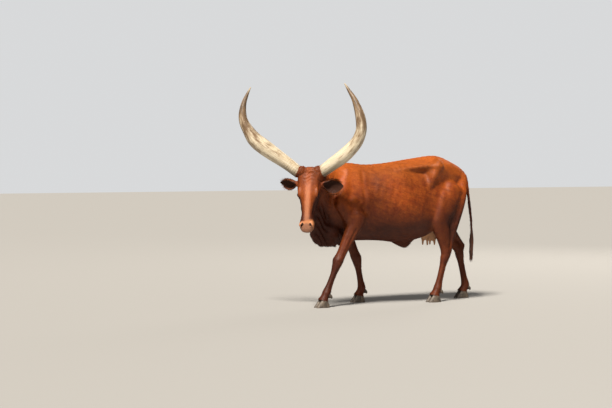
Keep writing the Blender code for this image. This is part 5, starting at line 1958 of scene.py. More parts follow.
                # A dict keeps its order, so that each run cuts in the same order
                geometry = dict.fromkeys(item for face in foot for item in (face, *face.edges, *face.verts))
                bmesh.ops.bisect_plane(work, geom=list(geometry), plane_co=ankle + facing * 0.004,
                                       plane_no=facing, clear_outer=True)
            bmesh.ops.holes_fill(work, edges=[edge for edge in work.edges if edge.is_boundary])
            bmesh.ops.triangulate(work, faces=work.faces)
            bmesh.ops.recalc_face_normals(work, faces=work.faces)
        self.piece.data.update()

    def read(self) -> None:
        """Take the finished skin's points and normals."""
        sculpt = Sculpt(self.piece)
        self.points, self.normals = sculpt.points, sculpt.normals

    def leg_share(self) -> np.ndarray:
        """How far each point belongs to a lower leg, from 0 to 1.

        Returns:
            One share for each point.
        """
        share = np.zeros(len(self.points))
        for leg in self.cow.legs.values():
            away = path_distance(self.points, leg.bones()[1 if leg.hind else 0:])
            share = np.maximum(share, fade(away, 0.12, 0.07))
        return share * fade(self.points[:, 2], 0.8, 0.66)

    def paint_masks(self) -> None:
        """Grade every point of the skin for colour, coat and fineness."""
        cow, points = self.cow, self.points
        x, y, z = points.T
        local = self.in_head(points)
        along, across, out = local.T
        face = fade(self.seam_side(points), 0.02, 0.1) * fade(z, 0.5, 0.6)
        legs = self.leg_share()
        masks = self.masks
        wobble = 0.012 * np.sin(x * 37 + z * 29) + 0.01 * np.sin(y * 61 - z * 43)
        muzzle = fade(along + wobble * 0.6, 0.452, 0.486) * fade(out, -0.094, -0.08) * face
        pad = fade(along + 0.006 * np.cos(across * 70), 0.486, 0.5) * fade(out, -0.088, -0.078)
        pad *= fade(np.abs(across), 0.058, 0.048) * fade(out, 0.02, -0.006) * face
        masks["muzzle"] = muzzle * 0.85
        masks["pad"] = pad
        # Near-black: the dark lid skin round the eyes, and painted shade inside the nostril pits
        rim = np.zeros(len(points))
        for side in SIDES.values():
            away = np.linalg.norm(local - flipped(cow.head.eye, side), axis=1) - cow.head.eye_radius
            rim = np.maximum(rim, fade(away, 0.0042, 0.0018))
            pit = flipped(((0.488, 0.03, -0.008), (0.503, 0.034, -0.018), (0.505, 0.048, -0.032)), side)
            rim = np.maximum(rim, 0.95 * fade(path_distance(local, pit), 0.0125, 0.0085))
        masks["rim"] = rim * face
        # Painted shade: darker under the body, on the lower neck, behind the thighs and under the dewlap; the
        # legs and the end of the tail are darker brown as well
        dusk = (0.64 + 0.08 * fade(z, 0.6, 0.3)) * legs + 0.8 * fade(z, 1.0, 0.66) * (1 - legs)
        dusk += 0.5 * fade(x, 0.58, 0.72) * fade(z, 1.17, 1.02) * (1 - face)
        dusk += 0.3 * fade(x, -0.34, -0.5) * fade(z, 1.02, 0.86) * (1 - legs)
        dusk += 0.35 * fade(path_distance(points, cow.neck.dewlap), 0.16, 0.08) * fade(z, 0.95, 0.75)
        dusk += 0.45 * fade(path_distance(points, cow.tail.line[4:]), 0.05, 0.03)
        # Sides of the face darker brown, partly painted shade, and the face darker away from the bridge of
        # the nose
        dusk += 0.6 * face * fade(along, 0.12, 0.26) * fade(out, -0.016, -0.046) * fade(along, 0.49, 0.45)
        dusk += 0.32 * face * fade(np.abs(across), 0.012, 0.034) * fade(along, 0.49, 0.45)
        # Painted shade under the chin and on the lower lips
        dusk += 0.4 * face * fade(along, 0.38, 0.44) * fade(out, -0.098, -0.112) * fade(out, -0.22, -0.18)
        lips = 0.6 * face * fade(along, 0.44, 0.49) * fade(out, -0.08, -0.092)
        dusk += 0.22 * face * fade(along, 0.2, 0.1)
        masks["dusk"] = np.clip(np.maximum(dusk * (1 - muzzle), lips), 0, 0.9)
        udder = (points - np.array(cow.trunk.udder)) / (np.array(cow.trunk.udder_size) * 1.12)
        udder = np.linalg.norm(udder, axis=1)
        teat = np.min([np.hypot(x - tx, y - ty) for tx, ty, _ in cow.trunk.teats()], axis=0)
        udder = np.maximum(fade(udder, 1.12, 0.96), fade(teat, 0.03, 0.018) * fade(z, 0.6, 0.57))
        masks["udder"] = udder * fade(z, 0.7, 0.62) * fade(np.abs(y), 0.1, 0.08)
        masks["upright"] = np.clip(legs + face, 0, 1)
        lining, ears, edge = np.zeros(len(points)), np.zeros(len(points)), np.zeros(len(points))
        for ear in cow.ears.values():
            belongs = self.in_ear(ear, points)
            share, aside, _ = ear.local(points).T
            opening = np.array(ear.frame()[2])
            inner = belongs * fade(self.normals @ opening, 0.05, 0.5) * fade(share, -0.05, 0.1)
            ears = np.maximum(ears, belongs)
            stops, halves = np.array(ear.sections)[:, :2].T
            half = np.interp(share, stops, halves * ear.spread)
            brim = belongs * fade(np.abs(aside) / np.maximum(half, 0.004), 0.8, 0.95)
            brim *= fade(share, 0.02, 0.15)
            edge = np.maximum(edge, brim)
            lining = np.maximum(lining, inner * (1 - 0.85 * brim))
        masks["lining"] = lining
        masks["ear"] = ears
        masks["ear_edge"] = edge
        # Painted highlight: lighter along the top of the body and on the front of the face; the ear edges
        # copper as well
        masks["glow"] = np.clip(0.9 * edge + 0.5 * fade(z, 1.05, 1.25) * (1 - face)
                                + 0.24 * face * fade(out, -0.04, -0.01), 0, 1)
        # Painted sheen down the bridge of the nose
        masks["stripe"] = (0.5 * face * fade(out, -0.04, -0.01) * fade(np.abs(across), 0.028, 0.006)
                           * fade(along, 0.1, 0.24) * (1 - muzzle))
        masks["streak"] = (1 - legs) * (1 - face) * (0.25 + 0.75 * fade(z, 1.18, 0.98)) * fade(x, 0.62, 0.4)
        masks["face"] = face
        masks["leg"] = legs

    def lay_hair(self) -> None:
        """Direction in which the hair lies at every point of the skin."""
        cow, points = self.cow, self.points
        place = np.array(cow.head.place().to_3x3())
        local = self.in_head(points)
        x, y, z = points.T
        drop = 0.16 + 0.6 * fade(z, 1.25, 0.8) * fade(z, 0.55, 0.75)
        lie = np.stack([-np.ones(len(points)), 0.25 * np.sign(y) * fade(z, 1.1, 1.28), -drop], axis=1)
        tail = fade(x, -0.74, -0.8) * fade(path_distance(points, cow.tail.line), 0.06, 0.04)
        for way, share in (((-0.45, 0.0, -0.9), fade(x, 0.2, 0.45) * fade(z, 1.22, 1.0)),
                           ((-0.6, -0.42, -0.68), fade(x, 0.55, 0.72)),
                           ((-0.25, 0.0, -0.97), fade(x, -0.38, -0.55) * fade(z, 1.15, 0.95)),
                           ((-0.06, 0.0, -1.0), self.masks["leg"]),
                           ((-0.05, 0.0, -1.0), tail)):
            lie = blend(lie, way, share)
        along, across, out = local.T
        level = np.ones(len(points))
        down = np.stack([level, 0.25 * np.sign(across), -0.05 * level], axis=1)
        fan = 1.1 * np.sign(across) * fade(np.abs(across), 0.0, 0.03)
        fan = np.stack([-0.55 * level, fan, -0.1 * level], axis=1)
        down = blend(down, fan, fade(along, 0.17, 0.11))
        down = blend(down, (0.15, 0.0, -1.0), fade(out, -0.06, -0.11) * fade(along, 0.34, 0.26))
        lie = blend(lie, down @ place.T, self.masks["face"])
        for ear in cow.ears.values():
            aside = ear.local(points)[:, 1]
            _, along, _, across = (np.array(part) for part in ear.frame())
            lie = blend(lie, along + across * (aside / 0.05)[:, None] * 0.9, self.in_ear(ear, points))
        lie -= self.normals * np.einsum("ij,ij->i", lie, self.normals)[:, None]
        self.masks["lie"] = unit(lie)

    def store(self) -> None:
        """Write the masks and the lie of the hair onto the mesh."""
        for name in ("muzzle", "pad", "rim", "dusk", "udder", "upright", "lining", "glow", "streak", "stripe",
                     "lie"):
            keep_values(self.piece, name, self.masks[name])

    def unwrap(self) -> None:
        """Lay the skin out flat by region and facing, each in a tile of its own."""
        corners = corner_points(self.piece.data).reshape(-1, 3)
        count = len(corners)
        places = self.points[corners]
        middle = places.mean(axis=1)
        facing = np.cross(places[:, 1] - places[:, 0], places[:, 2] - places[:, 0])
        axis = np.abs(facing).argmax(axis=1)
        sign = (np.take_along_axis(facing, axis[:, None], axis=1)[:, 0] > 0).astype(int)
        region = np.where(middle[:, 1] > 0, 0, 1)
        legs = self.masks["leg"][corners].mean(axis=1) > 0.5
        region = np.where(legs, 2 + region + np.where(middle[:, 0] > 0, 0, 2), region)
        region = np.where(self.masks["face"][corners].mean(axis=1) > 0.5, 6, region)
        ears = self.masks["ear"][corners].mean(axis=1) > 0.5
        region = np.where(ears, np.where(self.in_head(middle)[:, 1] > 0, 7, 8), region)
        tile = region * 6 + axis * 2 + sign
        side = self.tile_side
        flat = np.zeros((count * 3, 2), dtype=np.float32)
        for index in np.unique(tile):
            chosen = np.flatnonzero(tile == index)
            keep = [part for part in range(3) if part != (index % 6) // 2]
            spread = places[chosen][:, :, keep].reshape(-1, 2)
            low, high = spread.min(axis=0), spread.max(axis=0)
            scale = (1 - 2 * self.tile_margin) / max((high - low).max(), 1e-6)
            corner = np.array((index % side, index // side)) + self.tile_margin
            rows = (chosen[:, None] * 3 + np.arange(3)).ravel()
            flat[rows] = (corner + (spread - low) * scale) / side
        self.piece.data.uv_layers.new(name=BAKE_MAP).data.foreach_set("uv", flat.ravel())


class TuftKind(Enum):
    """Shapes of a single tuft."""

    SHORT = "short"
    LOCK = "lock"


def tuft_shape(kind: TuftKind) -> Thing:
    """One tuft of length one along y, thin in z, for the tree to copy.

    Args:
        kind: a short stub or a long waved lock.

    Returns:
        The tuft's object, with a small map of its own.
    """
    if kind is TuftKind.SHORT:
        points = [(-0.5, 0.0, -0.04), (0.5, 0.0, -0.04), (0.0, 0.34, 0.26), (0.0, 1.0, 0.1)]
        faces = [(0, 1, 2), (0, 2, 3), (1, 3, 2), (0, 3, 1)]
    else:
        points = []
        rings = ((-0.04, 0.4, 0.0), (0.22, 0.5, 0.1), (0.48, 0.46, 0.06), (0.74, 0.32, -0.06))
        for along, half, rise in rings:
            bend = 0.5 * math.sin(along * 5.0)
            for x, z in ((-half, 0.0), (half, 0.0), (0.0, half * 0.55)):
                points.append((x + bend, along, rise + z))
        points.append((0.25, 1.0, -0.16))
        faces = band_faces(len(rings), 3)
        last = (len(rings) - 1) * 3
        for step in range(3):
            faces.append((last + step, last + (step + 1) % 3, len(points) - 1))
        faces.append((2, 1, 0))
    tuft = new_piece(f"tuft_{kind.value}", [(np.array(points), faces)])
    with opened(tuft) as work:
        bmesh.ops.recalc_face_normals(work, faces=work.faces)
        work.normal_update()
        for edge in work.edges:
            under = [face.normal.z < -0.4 for face in edge.link_faces]
            edge.smooth = under[0] == under[1]
        patch = work.loops.layers.float_vector.new("patch")
        for face in work.faces:
            for loop in face.loops:
                loop[patch] = (loop.vert.co.x * 0.8, loop.vert.co.y - 0.5, 0.0)
    tuft.data.shade_smooth()
    return tuft


class NodeGroup(Tree):
    """Geometry Nodes group with named inputs, for use as a modifier."""

    def __init__(self, name: str, **inputs: str) -> None:
        """Start a group that takes and gives geometry.

        Args:
            name: the group's name.
            inputs: kind of each further input, by name.
        """
        super().__init__(bpy.data.node_groups.new(name, "GeometryNodeTree"))
        face = self.tree.interface
        face.new_socket("Geometry", in_out="OUTPUT", socket_type="NodeSocketGeometry")
        for socket, kind in {"Geometry": "Geometry", **inputs}.items():
            face.new_socket(socket, in_out="INPUT", socket_type=f"NodeSocket{kind}")
        self.given = self.add("NodeGroupInput").outputs
        self.wire()

    def wire(self) -> None:
        """Place and link the group's nodes."""
        raise NotImplementedError

    def read(self, name: str, kind: str = "FLOAT") -> Socket:
        """Value of an attribute of the geometry."""
        return self.add("GeometryNodeInputNamedAttribute", {"Name": name}, data_type=kind).outputs[0]

    def keep(self, geometry: Socket, name: str, value: Socket,
             kind: str = "FLOAT", domain: str = "POINT") -> Socket:
        """Geometry with a value stored on it as an attribute."""
        inputs = {"Geometry": geometry, "Name": name, "Value": value}
        return self.add("GeometryNodeStoreNamedAttribute", inputs, data_type=kind, domain=domain).outputs[0]

    def real(self, geometry: Socket) -> Socket:
        """Geometry with its copies made real."""
        return self.add("GeometryNodeRealizeInstances", {"Geometry": geometry}).outputs[0]

    def finish(self, geometry: Socket) -> None:
        """End the group with its material on the geometry."""
        done = self.add("GeometryNodeSetMaterial", {"Geometry": geometry, "Material": self.given["Finish"]})
        self.add("NodeGroupOutput", {"Geometry": done.outputs[0]})

    def attach(self, thing: Thing, **values: object) -> None:
        """Put the group on an object and set its inputs by their identifiers.

        Args:
            thing: the object that gets the modifier.
            values: the group's inputs by name.
        """
        modifier = thing.modifiers.new(self.tree.name, "NODES")
        modifier.node_group = self.tree
        for item in self.tree.interface.items_tree:
            if item.in_out == "INPUT" and item.name in values:
                modifier[item.identifier] = values[item.name]


class TuftTree(NodeGroup):
    """Geometry Nodes that plant tufts on a surface along the lie of its hair."""

    PATCH_SIZE = 0.003
    SEED_STEP = 101

    def __init__(self) -> None:
        """Build the tree with its named inputs."""
        super().__init__("Plant tufts", Tuft="Object", Finish="Material", Density="Float", Length="Float",
                         Width="Float", Lift="Float", Spread="Float", Seed="Int")

    def wire(self) -> None:
        """Place and link the tree's nodes."""
        given = self.given
        cover, length = self.read("cover"), self.read("long")
        lie, flat = self.read("lie", "FLOAT_VECTOR"), self.read(BAKE_MAP, "FLOAT_VECTOR")
        planted = self.add("GeometryNodeDistributePointsOnFaces",
                           {"Mesh": given["Geometry"], "Density": self.times(given["Density"], cover),
                            "Seed": given["Seed"]}, distribute_method="RANDOM").outputs
        rooted = self.keep(planted["Points"], "root_uv", flat, "FLOAT_VECTOR")
        turn = self.add("FunctionNodeAxesToRotation", {0: planted["Normal"], 1: lie},
                        primary_axis="Z", secondary_axis="Y").outputs[0]
        yaw, roll, lift = self.random(-1.0, 1.0, 1), self.random(-1.0, 1.0, 2), self.random(0.5, 1.5, 3)
        tilt = self.combined(self.times(lift, given["Lift"]), self.times(roll, given["Spread"]),
                             self.times(yaw, given["Spread"]))
        twist = self.add("FunctionNodeEulerToRotation", {0: tilt}).outputs[0]
        posed = self.add("FunctionNodeRotateRotation", {0: turn, 1: twist}, rotation_space="LOCAL").outputs[0]
        reach = self.times(self.times(given["Length"], length), self.random(0.65, 1.25, 4))
        wide = self.times(given["Width"], self.random(0.7, 1.3, 5))
        tuft = self.add("GeometryNodeObjectInfo", {"Object": given["Tuft"], "As Instance": True})
        copies = self.add("GeometryNodeInstanceOnPoints",
                          {"Points": rooted, "Instance": tuft.outputs["Geometry"], "Rotation": posed,
                           "Scale": self.combined(wide, reach, wide)}).outputs[0]
        real = self.real(self.keep(copies, "tone", self.random(0.0, 1.0, 6), domain="INSTANCE"))
        root, patch = self.read("root_uv", "FLOAT_VECTOR"), self.read("patch", "FLOAT_VECTOR")
        small = self.vector("MULTIPLY", patch, (self.PATCH_SIZE,) * 3)
        self.finish(self.keep(real, BAKE_MAP, self.vector("ADD", root, small), "FLOAT2", "CORNER"))

    def random(self, low: float, high: float, turn: int) -> Socket:
        """One random number for each tuft, different for each turn.

        Args:
            low: least value.
            high: greatest value.
            turn: number that sets this draw apart.

        Returns:
            The socket of the number.
        """
        seed = self.plus(self.given["Seed"], float(turn * self.SEED_STEP))
        inputs = {2: low, 3: high, "Seed": seed}
        return self.add("FunctionNodeRandomValue", inputs, data_type="FLOAT").outputs[1]

    def grow(self, piece: Thing, **values: object) -> None:
        """Plant tufts on a piece that carries the masks, and leave only the tufts as its mesh.

        Args:
            piece: a copy of the skin with cover and long stored on it.
            values: the tree's inputs by name.
        """
        self.attach(piece, **values)
        settle(piece)
        for name in ("lie", "cover", "long", "root_uv", "patch", "upright"):
            stale = piece.data.attributes.get(name)
            if stale is not None:
                piece.data.attributes.remove(stale)


@dataclass(frozen=True)
class CoatPart:
    """Name and tuft sizes of one patch of the coat."""

    name: str
    density: float
    length: float
    width: float
    lift: float
    spread: float = 0.2
    kind: TuftKind = TuftKind.SHORT


COAT_PARTS = (
    CoatPart("coat_front", 35000, 0.0175, 0.0027, 0.055),
    CoatPart("coat_middle", 35000, 0.0175, 0.0027, 0.055),
    CoatPart("coat_rear", 35000, 0.017, 0.0026, 0.055),
    CoatPart("coat_neck", 37000, 0.018, 0.0026, 0.07),
    CoatPart("coat_fore_legs", 60000, 0.011, 0.0018, 0.07),
    CoatPart("coat_hind_legs", 60000, 0.011, 0.0018, 0.07),
    CoatPart("coat_face", 100000, 0.007, 0.0012, 0.075),
    CoatPart("coat_ears", 150000, 0.0085, 0.0011, 0.11),
    CoatPart("ear_fringe", 90000, 0.026, 0.0012, 0.26, 0.45, TuftKind.LOCK),
    CoatPart("coat_fringes", 12000, 0.025, 0.0018, 0.2, 0.35, TuftKind.LOCK),
    CoatPart("poll_hair", 32000, 0.0165, 0.0017, 0.14, 0.4, TuftKind.LOCK),
)


@dataclass
class Coat:
    """Short coat in patches over the whole skin."""

    skin: Skin
    tree: TuftTree
    tufts: dict[TuftKind, Thing]
    material: bpy.types.Material
    # Where the front, middle, rear and neck of the coat meet
    waist: float = -0.06
    hip: float = -0.42
    throat: float = 0.62

    def furred(self) -> np.ndarray:
        """Where hair grows: not on the pad, rims, teats, soles or the flat ends of the legs.

        Returns:
            One share for each point.
        """
        masks = self.skin.masks
        bare = np.maximum.reduce([masks["pad"], masks["rim"] * 1.5, fade(masks["udder"], 0.1, 0.5)])
        return np.clip(1 - bare, 0, 1) * fade(self.skin.points[:, 2], 0.05, 0.062)

    def covers(self) -> dict[str, np.ndarray]:
        """Share of hair at each point of the skin.

        Returns:
            Numbers from 0 to 1 for each patch, by its name.
        """
        skin, masks, fur = self.skin, self.skin.masks, self.furred()
        x = skin.points[:, 0]
        leg, face, ear = (masks[name] >= 0.5 for name in ("leg", "face", "ear"))
        return {"coat_front": fur * (x >= self.waist) * (x < self.throat) * ~leg * ~face,
                "coat_middle": fur * (x < self.waist) * (x >= self.hip) * ~leg,
                "coat_rear": fur * (x < self.hip) * ~leg,
                "coat_neck": fur * (x >= self.throat) * ~face * ~leg,
                "coat_fore_legs": fur * leg * (x > 0),
                "coat_hind_legs": fur * leg * (x <= 0),
                "coat_face": fur * face * ~ear * (1 - 0.7 * masks["muzzle"]),
                "coat_ears": ear * (1 - 0.8 * masks["lining"]),
                "ear_fringe": masks["ear_edge"] * (masks["ear"] > 0.3),
                "coat_fringes": self.ridges() * fur * ~face,
                "poll_hair": self.poll()}

    def ridges(self) -> np.ndarray:
        """Where the coat breaks the outline: throat, dewlap edge, belly flap, backs of the legs, tail.

        Returns:
            One share for each point.
        """
        skin, points, cow = self.skin, self.skin.points, self.skin.cow
        edge = [(x, y, z - 0.03) for x, y, z, *_ in cow.neck.dewlap]
        dewlap = fade(path_distance(points, edge), 0.11, 0.06)
        flap = fade(path_distance(points, cow.trunk.belly_flap), 0.07, 0.035) * fade(points[:, 2], 0.6, 0.55)
        tail = fade(path_distance(points, cow.tail.line[2:]), 0.06, 0.035) * 0.7
        behind = skin.masks["leg"] * fade(skin.normals[:, 0], -0.4, -0.8) * 0.5
        low = fade(skin.normals[:, 2], 0.2, -0.4)
        return np.clip(dewlap * low + flap + tail + behind, 0, 1)

    def poll(self) -> np.ndarray:
        """Forelock between the horns and hair round their bases.

        Returns:
            One share for each point.
        """
        skin = self.skin
        local = skin.in_head(skin.points)
        poll = fade(local[:, 0], 0.075, 0.035) * fade(local[:, 2], -0.12, -0.06)
        collars = np.maximum.reduce([fade(np.linalg.norm(skin.points - horn.root(), axis=1), 0.085, 0.06)
                                     for horn in skin.cow.horns.values()])
        return np.maximum(poll * 0.8, collars) * skin.masks["face"] * (skin.masks["ear"] < 0.3)

    def reach(self, part: CoatPart) -> np.ndarray:
        """Length of the hair at each point, longer at the end of the tail's fringe.

        Args:
            part: the patch of the coat.

        Returns:
            One factor for each point.
        """
        points = self.skin.points
        if part.name != "coat_fringes":
            return np.ones(len(points))
        tail = fade(path_distance(points, self.skin.cow.tail.line[5:]), 0.05, 0.03)
        return 1.0 + 0.6 * tail * fade(points[:, 2], 0.85, 0.6)

    def build(self) -> None:
        """Make every patch as a plain mesh, each with a seed of its own."""
        covers = self.covers()
        for seed, part in enumerate(COAT_PARTS, start=1):
            piece = linked(part.name, self.skin.piece.data.copy())
            keep_values(piece, "cover", covers[part.name])
            keep_values(piece, "long", self.reach(part))
            self.tree.grow(piece, Tuft=self.tufts[part.kind], Finish=self.material, Seed=seed,
                           Density=float(part.density), Length=part.length, Width=part.width, Lift=part.lift,
                           Spread=part.spread)
            dress(piece, self.material, Slot.COAT)
        for tuft in self.tufts.values():
            discard(tuft)


class HornTree(NodeGroup):
    """Geometry Nodes that sweep a horn's sheath along its middle line and ring it."""

    def __init__(self) -> None:
        """Build the tree with its named inputs."""
        super().__init__("Sweep horn", **{"Finish": "Material", "Sides": "Int", "Ring spacing": "Float",
                                          "Ring height": "Float", "Roughness": "Float"})

    def wire(self) -> None:
        """Place and link the tree's nodes."""
        given = self.given
        share = self.add("GeometryNodeSplineParameter").outputs
        line = self.keep(given["Geometry"], "along", share["Factor"])
        line = self.keep(line, "metres", share["Length"])
        circle = self.add("GeometryNodeCurvePrimitiveCircle", {"Resolution": given["Sides"], "Radius": 1.0})
        profile = self.keep(circle.outputs[0], "round", share["Factor"])
        radius = self.add("GeometryNodeInputRadius").outputs[0]
        sheath = self.add("GeometryNodeCurveToMesh", {"Curve": line, "Profile Curve": profile,
                                                      "Scale": radius, "Fill Caps": True})
        metres, along = self.read("metres"), self.read("along")
        place = self.add("GeometryNodeInputPosition").outputs[0]
        wander = self.add("ShaderNodeTexNoise", {"Vector": place, "Scale": 14.0, "Detail": 3.0}).outputs[0]
        coarse = self.add("ShaderNodeTexNoise", {"Vector": place, "Scale": 38.0, "Detail": 4.0}).outputs[0]
        phase = self.times(self.math("DIVIDE", metres, given["Ring spacing"]), 2 * math.pi)
        wave = self.math("SINE", self.plus(phase, self.times(wander, 6.0)))
        basal = self.clamped(self.minus(1.0, self.times(along, 2.6)), 0.12)
        rings = self.times(self.times(wave, given["Ring height"]), basal)
        rough = self.times(self.minus(coarse, 0.5), given["Roughness"])
        thinner = self.clamped(self.times(self.minus(1.0, along), 6.0), 0.0)
        lift = self.times(self.plus(rings, rough), thinner)
        normal = self.add("GeometryNodeInputNormal").outputs[0]
        push = self.add("ShaderNodeVectorMath", {0: normal, "Scale": lift}, operation="SCALE").outputs[0]
        raised = self.add("GeometryNodeSetPosition", {"Geometry": sheath.outputs[0], "Offset": push})
        self.finish(self.real(raised.outputs[0]))

    def clamped(self, value: Socket, least: float) -> Socket:
        """A value held between a least one and 1."""
        return self.add("ShaderNodeClamp", {"Value": value, "Min": least, "Max": 1.0}).outputs[0]


@dataclass
class Horns:
    """The two horns, each swept along its own line."""

    cow: Cow
    sides: int = 56
    ring_spacing: float = 0.021
    ring_height: float = 0.0009
    roughness: float = 0.0016

    def build(self, material: bpy.types.Material) -> None:
        """Make both horns and set them on the head.

        Args:
            material: what they are made of.
        """
        tree = HornTree()
        for name, horn in self.cow.horns.items():
            line = self.middle_line(f"horn_line_{name}", horn.swept())
            tree.attach(line, **{"Finish": material, "Sides": self.sides, "Ring spacing": self.ring_spacing,
                                 "Ring height": self.ring_height, "Roughness": self.roughness})
            piece = linked(f"horn_{name}_sheath", baked_mesh(line))
            discard(line)
            face_outwards(piece, merge=0.00002)
            keep_values(piece, "grime", self.grime(Sculpt(piece), horn.root()))
            self.cow.to_frame(piece)
            dress(piece, material, Slot.HORN, f"horn_{name}")

    def middle_line(self, name: str, rows: np.ndarray) -> Thing:
        """Curve through rows of x, y, z and radius.

        Args:
            name: the curve's name.
            rows: the curve's points in order.

        Returns:
            The curve's object.
        """
        curve = bpy.data.curves.new(name, "CURVE")
        curve.dimensions = "3D"
        spline = curve.splines.new("POLY")
        spline.points.add(len(rows) - 1)
        for point, (x, y, z, radius) in zip(spline.points, rows):
            point.co = (x, y, z, 1.0)
            point.radius = radius
        return linked(name, curve)

    def grime(self, surface: Sculpt, root: np.ndarray) -> np.ndarray:
        """How dark each point is painted: painted shade on the faces that look down near the base of the
        horn, and dirt round its root.

        Args:
            surface: the sheath's points and normals.
            root: where the horn leaves its collar.

        Returns:
            One share for each point.
        """
        away = np.linalg.norm(surface.points - root, axis=1)
        under = fade(away, 0.3, 0.05) * fade(surface.normals[:, 2], -0.15, -0.75)
        return np.clip(under * 0.9 + 0.35 * fade(away, 0.075, 0.05), 0, 1)


@dataclass
class Eyes:
    """Two wet eyeballs in their sockets."""

    cow: Cow
    cornea: float = 0.0012

    def build(self, material: bpy.types.Material) -> None:
        """Make both eyes, each with its own gaze stored on it.

        Args:
            material: what they are made of.
        """
        head = self.cow.head
        place = head.place()
        turn = place.to_3x3()
        for name, side in SIDES.items():
            middle, along, over, look = head.eye_frame(side)
            points, faces = ball((0.0, 0.0, 0.0), (1.0, 1.0, 1.0), rings=32)
            basis = np.array([turn @ along, turn @ over, turn @ look])
            bulge = 1 + self.cornea / head.eye_radius * fade(points[:, 2], 0.6, 0.85)
            world = (points * bulge[:, None] * head.eye_radius) @ basis + np.array(place @ middle)
            piece = new_piece(f"eyeball_{name}", [(world, faces)])
            keep_values(piece, "gaze", points)
            self.cow.to_frame(piece)
            face_outwards(piece)
            dress(piece, material, Slot.EYE, f"eye_{name}")


@dataclass
class Lashes:
    """Dark lashes on the upper lids."""

    cow: Cow
    count: int = 44
    length: float = 0.012
    thickness: float = 0.00026
    seed: int = 5

    def build(self, material: bpy.types.Material) -> None:
        """Set a row of lashes on each upper lid.

        Args:
            material: what they are made of.
        """
        random = np.random.default_rng(self.seed)
        head = self.cow.head
        place = head.place()
        lashes = []
        for side in SIDES.values():
            path = smooth_rows(head.lid_path(side, True, 0.004), 6)
            _, along, over, look = (np.array(part) for part in head.eye_frame(side))
            for index in range(self.count):
                share = 0.12 + 0.76 * index / (self.count - 1)
                root = path[int(share * (len(path) - 1))]
                way = look * 0.7 + over * (0.15 + 0.4 * random.random()) + along * (0.5 - share) * 1.3
                way = way + along * random.uniform(-0.12, 0.12)
                reach = self.length * (0.55 + 0.45 * math.sin(math.pi * share)) * random.uniform(0.75, 1.1)
                way = way / np.linalg.norm(way) * reach
                rows = [(*(root + way * t + over * 0.006 * t * t), self.thickness * (1.05 - t))
                        for t in (0.0, 0.35, 0.7, 1.0)]
                lash = pipe(rows, lateral=tuple(along), sides=4, steps=1, rounded=False)
                lashes.append(carried(lash, place))
        piece = new_piece("lashes", lashes)
        keep_values(piece, "tone", np.zeros(len(piece.data.vertices)))
        self.cow.to_frame(piece)
        dress(piece, material, Slot.HAIR)


@dataclass
class Claws:
    """Eight claws and eight dewclaws."""

    cow: Cow
    length: float = 0.124
    width: float = 0.049
    split: float = 0.0035
    heel_behind: float = 0.046
    toe_angle: float = math.radians(52)
    heel_lean: float = 0.016
    top_width: float = 0.92
    rows: int = 22
    # Share of the length and of the half width round a sole
    outline: tuple[Row, ...] = ((0.0, 0.6), (0.1, 0.86), (0.35, 1.0), (0.65, 0.92), (0.86, 0.62),
                                (1.0, 0.22))

    def build(self, material: bpy.types.Material) -> None:
        """Make every claw and dewclaw.

        Args:
            material: what they are made of.
        """
        for name, leg in self.cow.legs.items():
            for word, side in SIDES.items():
                piece = self.claw(leg, side, f"hoof_{name}_{word}")
                self.cow.to_frame(piece)
                dress(piece, material, Slot.CLAW, f"claw_{name}_{word}")
            x, y, z = leg.joints["fetlock"]
            spurs = [pipe(((x - 0.024, y + 0.017 * side, z - 0.018, 0.0135),
                           (x - 0.038, y + 0.019 * side, z - 0.034, 0.013),
                           (x - 0.044, y + 0.02 * side, z - 0.046, 0.0085)), sides=20, steps=6)
                     for side in SIDES.values()]
            piece = new_piece(f"dewclaws_{name}", spurs)
            self.cow.to_frame(piece)
            dress(piece, material, Slot.CLAW)

    def claw(self, leg: LegForm, side: int, name: str) -> Thing:
        """One claw, its wall curved and ringed, flat on the floor.

        Args:
            leg: the leg that stands on it.
            side: 1 for the claw on the cow's left and -1 for the other.
            name: the piece's name.

        Returns:
            The claw.
        """
        x, y, height = leg.ankle()
        middle = y + side * (self.width / 2 + self.split / 2)
        heel, tall = x - self.heel_behind, height + 0.035
        top_length = self.length - tall / math.tan(self.toe_angle) - self.heel_lean
        outline = smooth_rows(self.outline, 5)
        slope = math.tan(leg.coronet_slope)
        points, rows = [], self.rows
        ring = np.vstack([outline * (1, -1), outline[::-1]])
        for row in range(rows + 1):
            rise = row / rows
            foot = 1 - 0.045 * (1 - min(1.0, rise * 9)) ** 2
            groove = 1 + 0.006 * math.sin(rise * 40)
            for share, half in ring:
                level = rise * height / tall
                for _ in range(4):
                    start = heel + self.heel_lean * level
                    length = self.length + (top_length - self.length) * level
                    px = start + length * (0.5 + (share - 0.5) * foot * groove)
                    top = height + (px - x) * slope - 0.0005 - 0.018 * max(0.0, 1 - share / 0.3) ** 2
                    top = min(max(top, 0.02), tall)
                    level = top * rise / tall
                narrow = 1 + (self.top_width - 1) * level - 0.03 * math.sin(math.pi * level)
                py = middle - side * half * self.width / 2 * narrow * foot * groove
                points.append((px, py, top * rise))
        count = len(ring)
        faces = band_faces(rows + 1, count)
        faces += [tuple(range(count)), tuple(range(rows * count, (rows + 1) * count))]
        piece = new_piece(name, [(np.array(points), faces)])
        face_outwards(piece, merge=0.00005)
        return piece


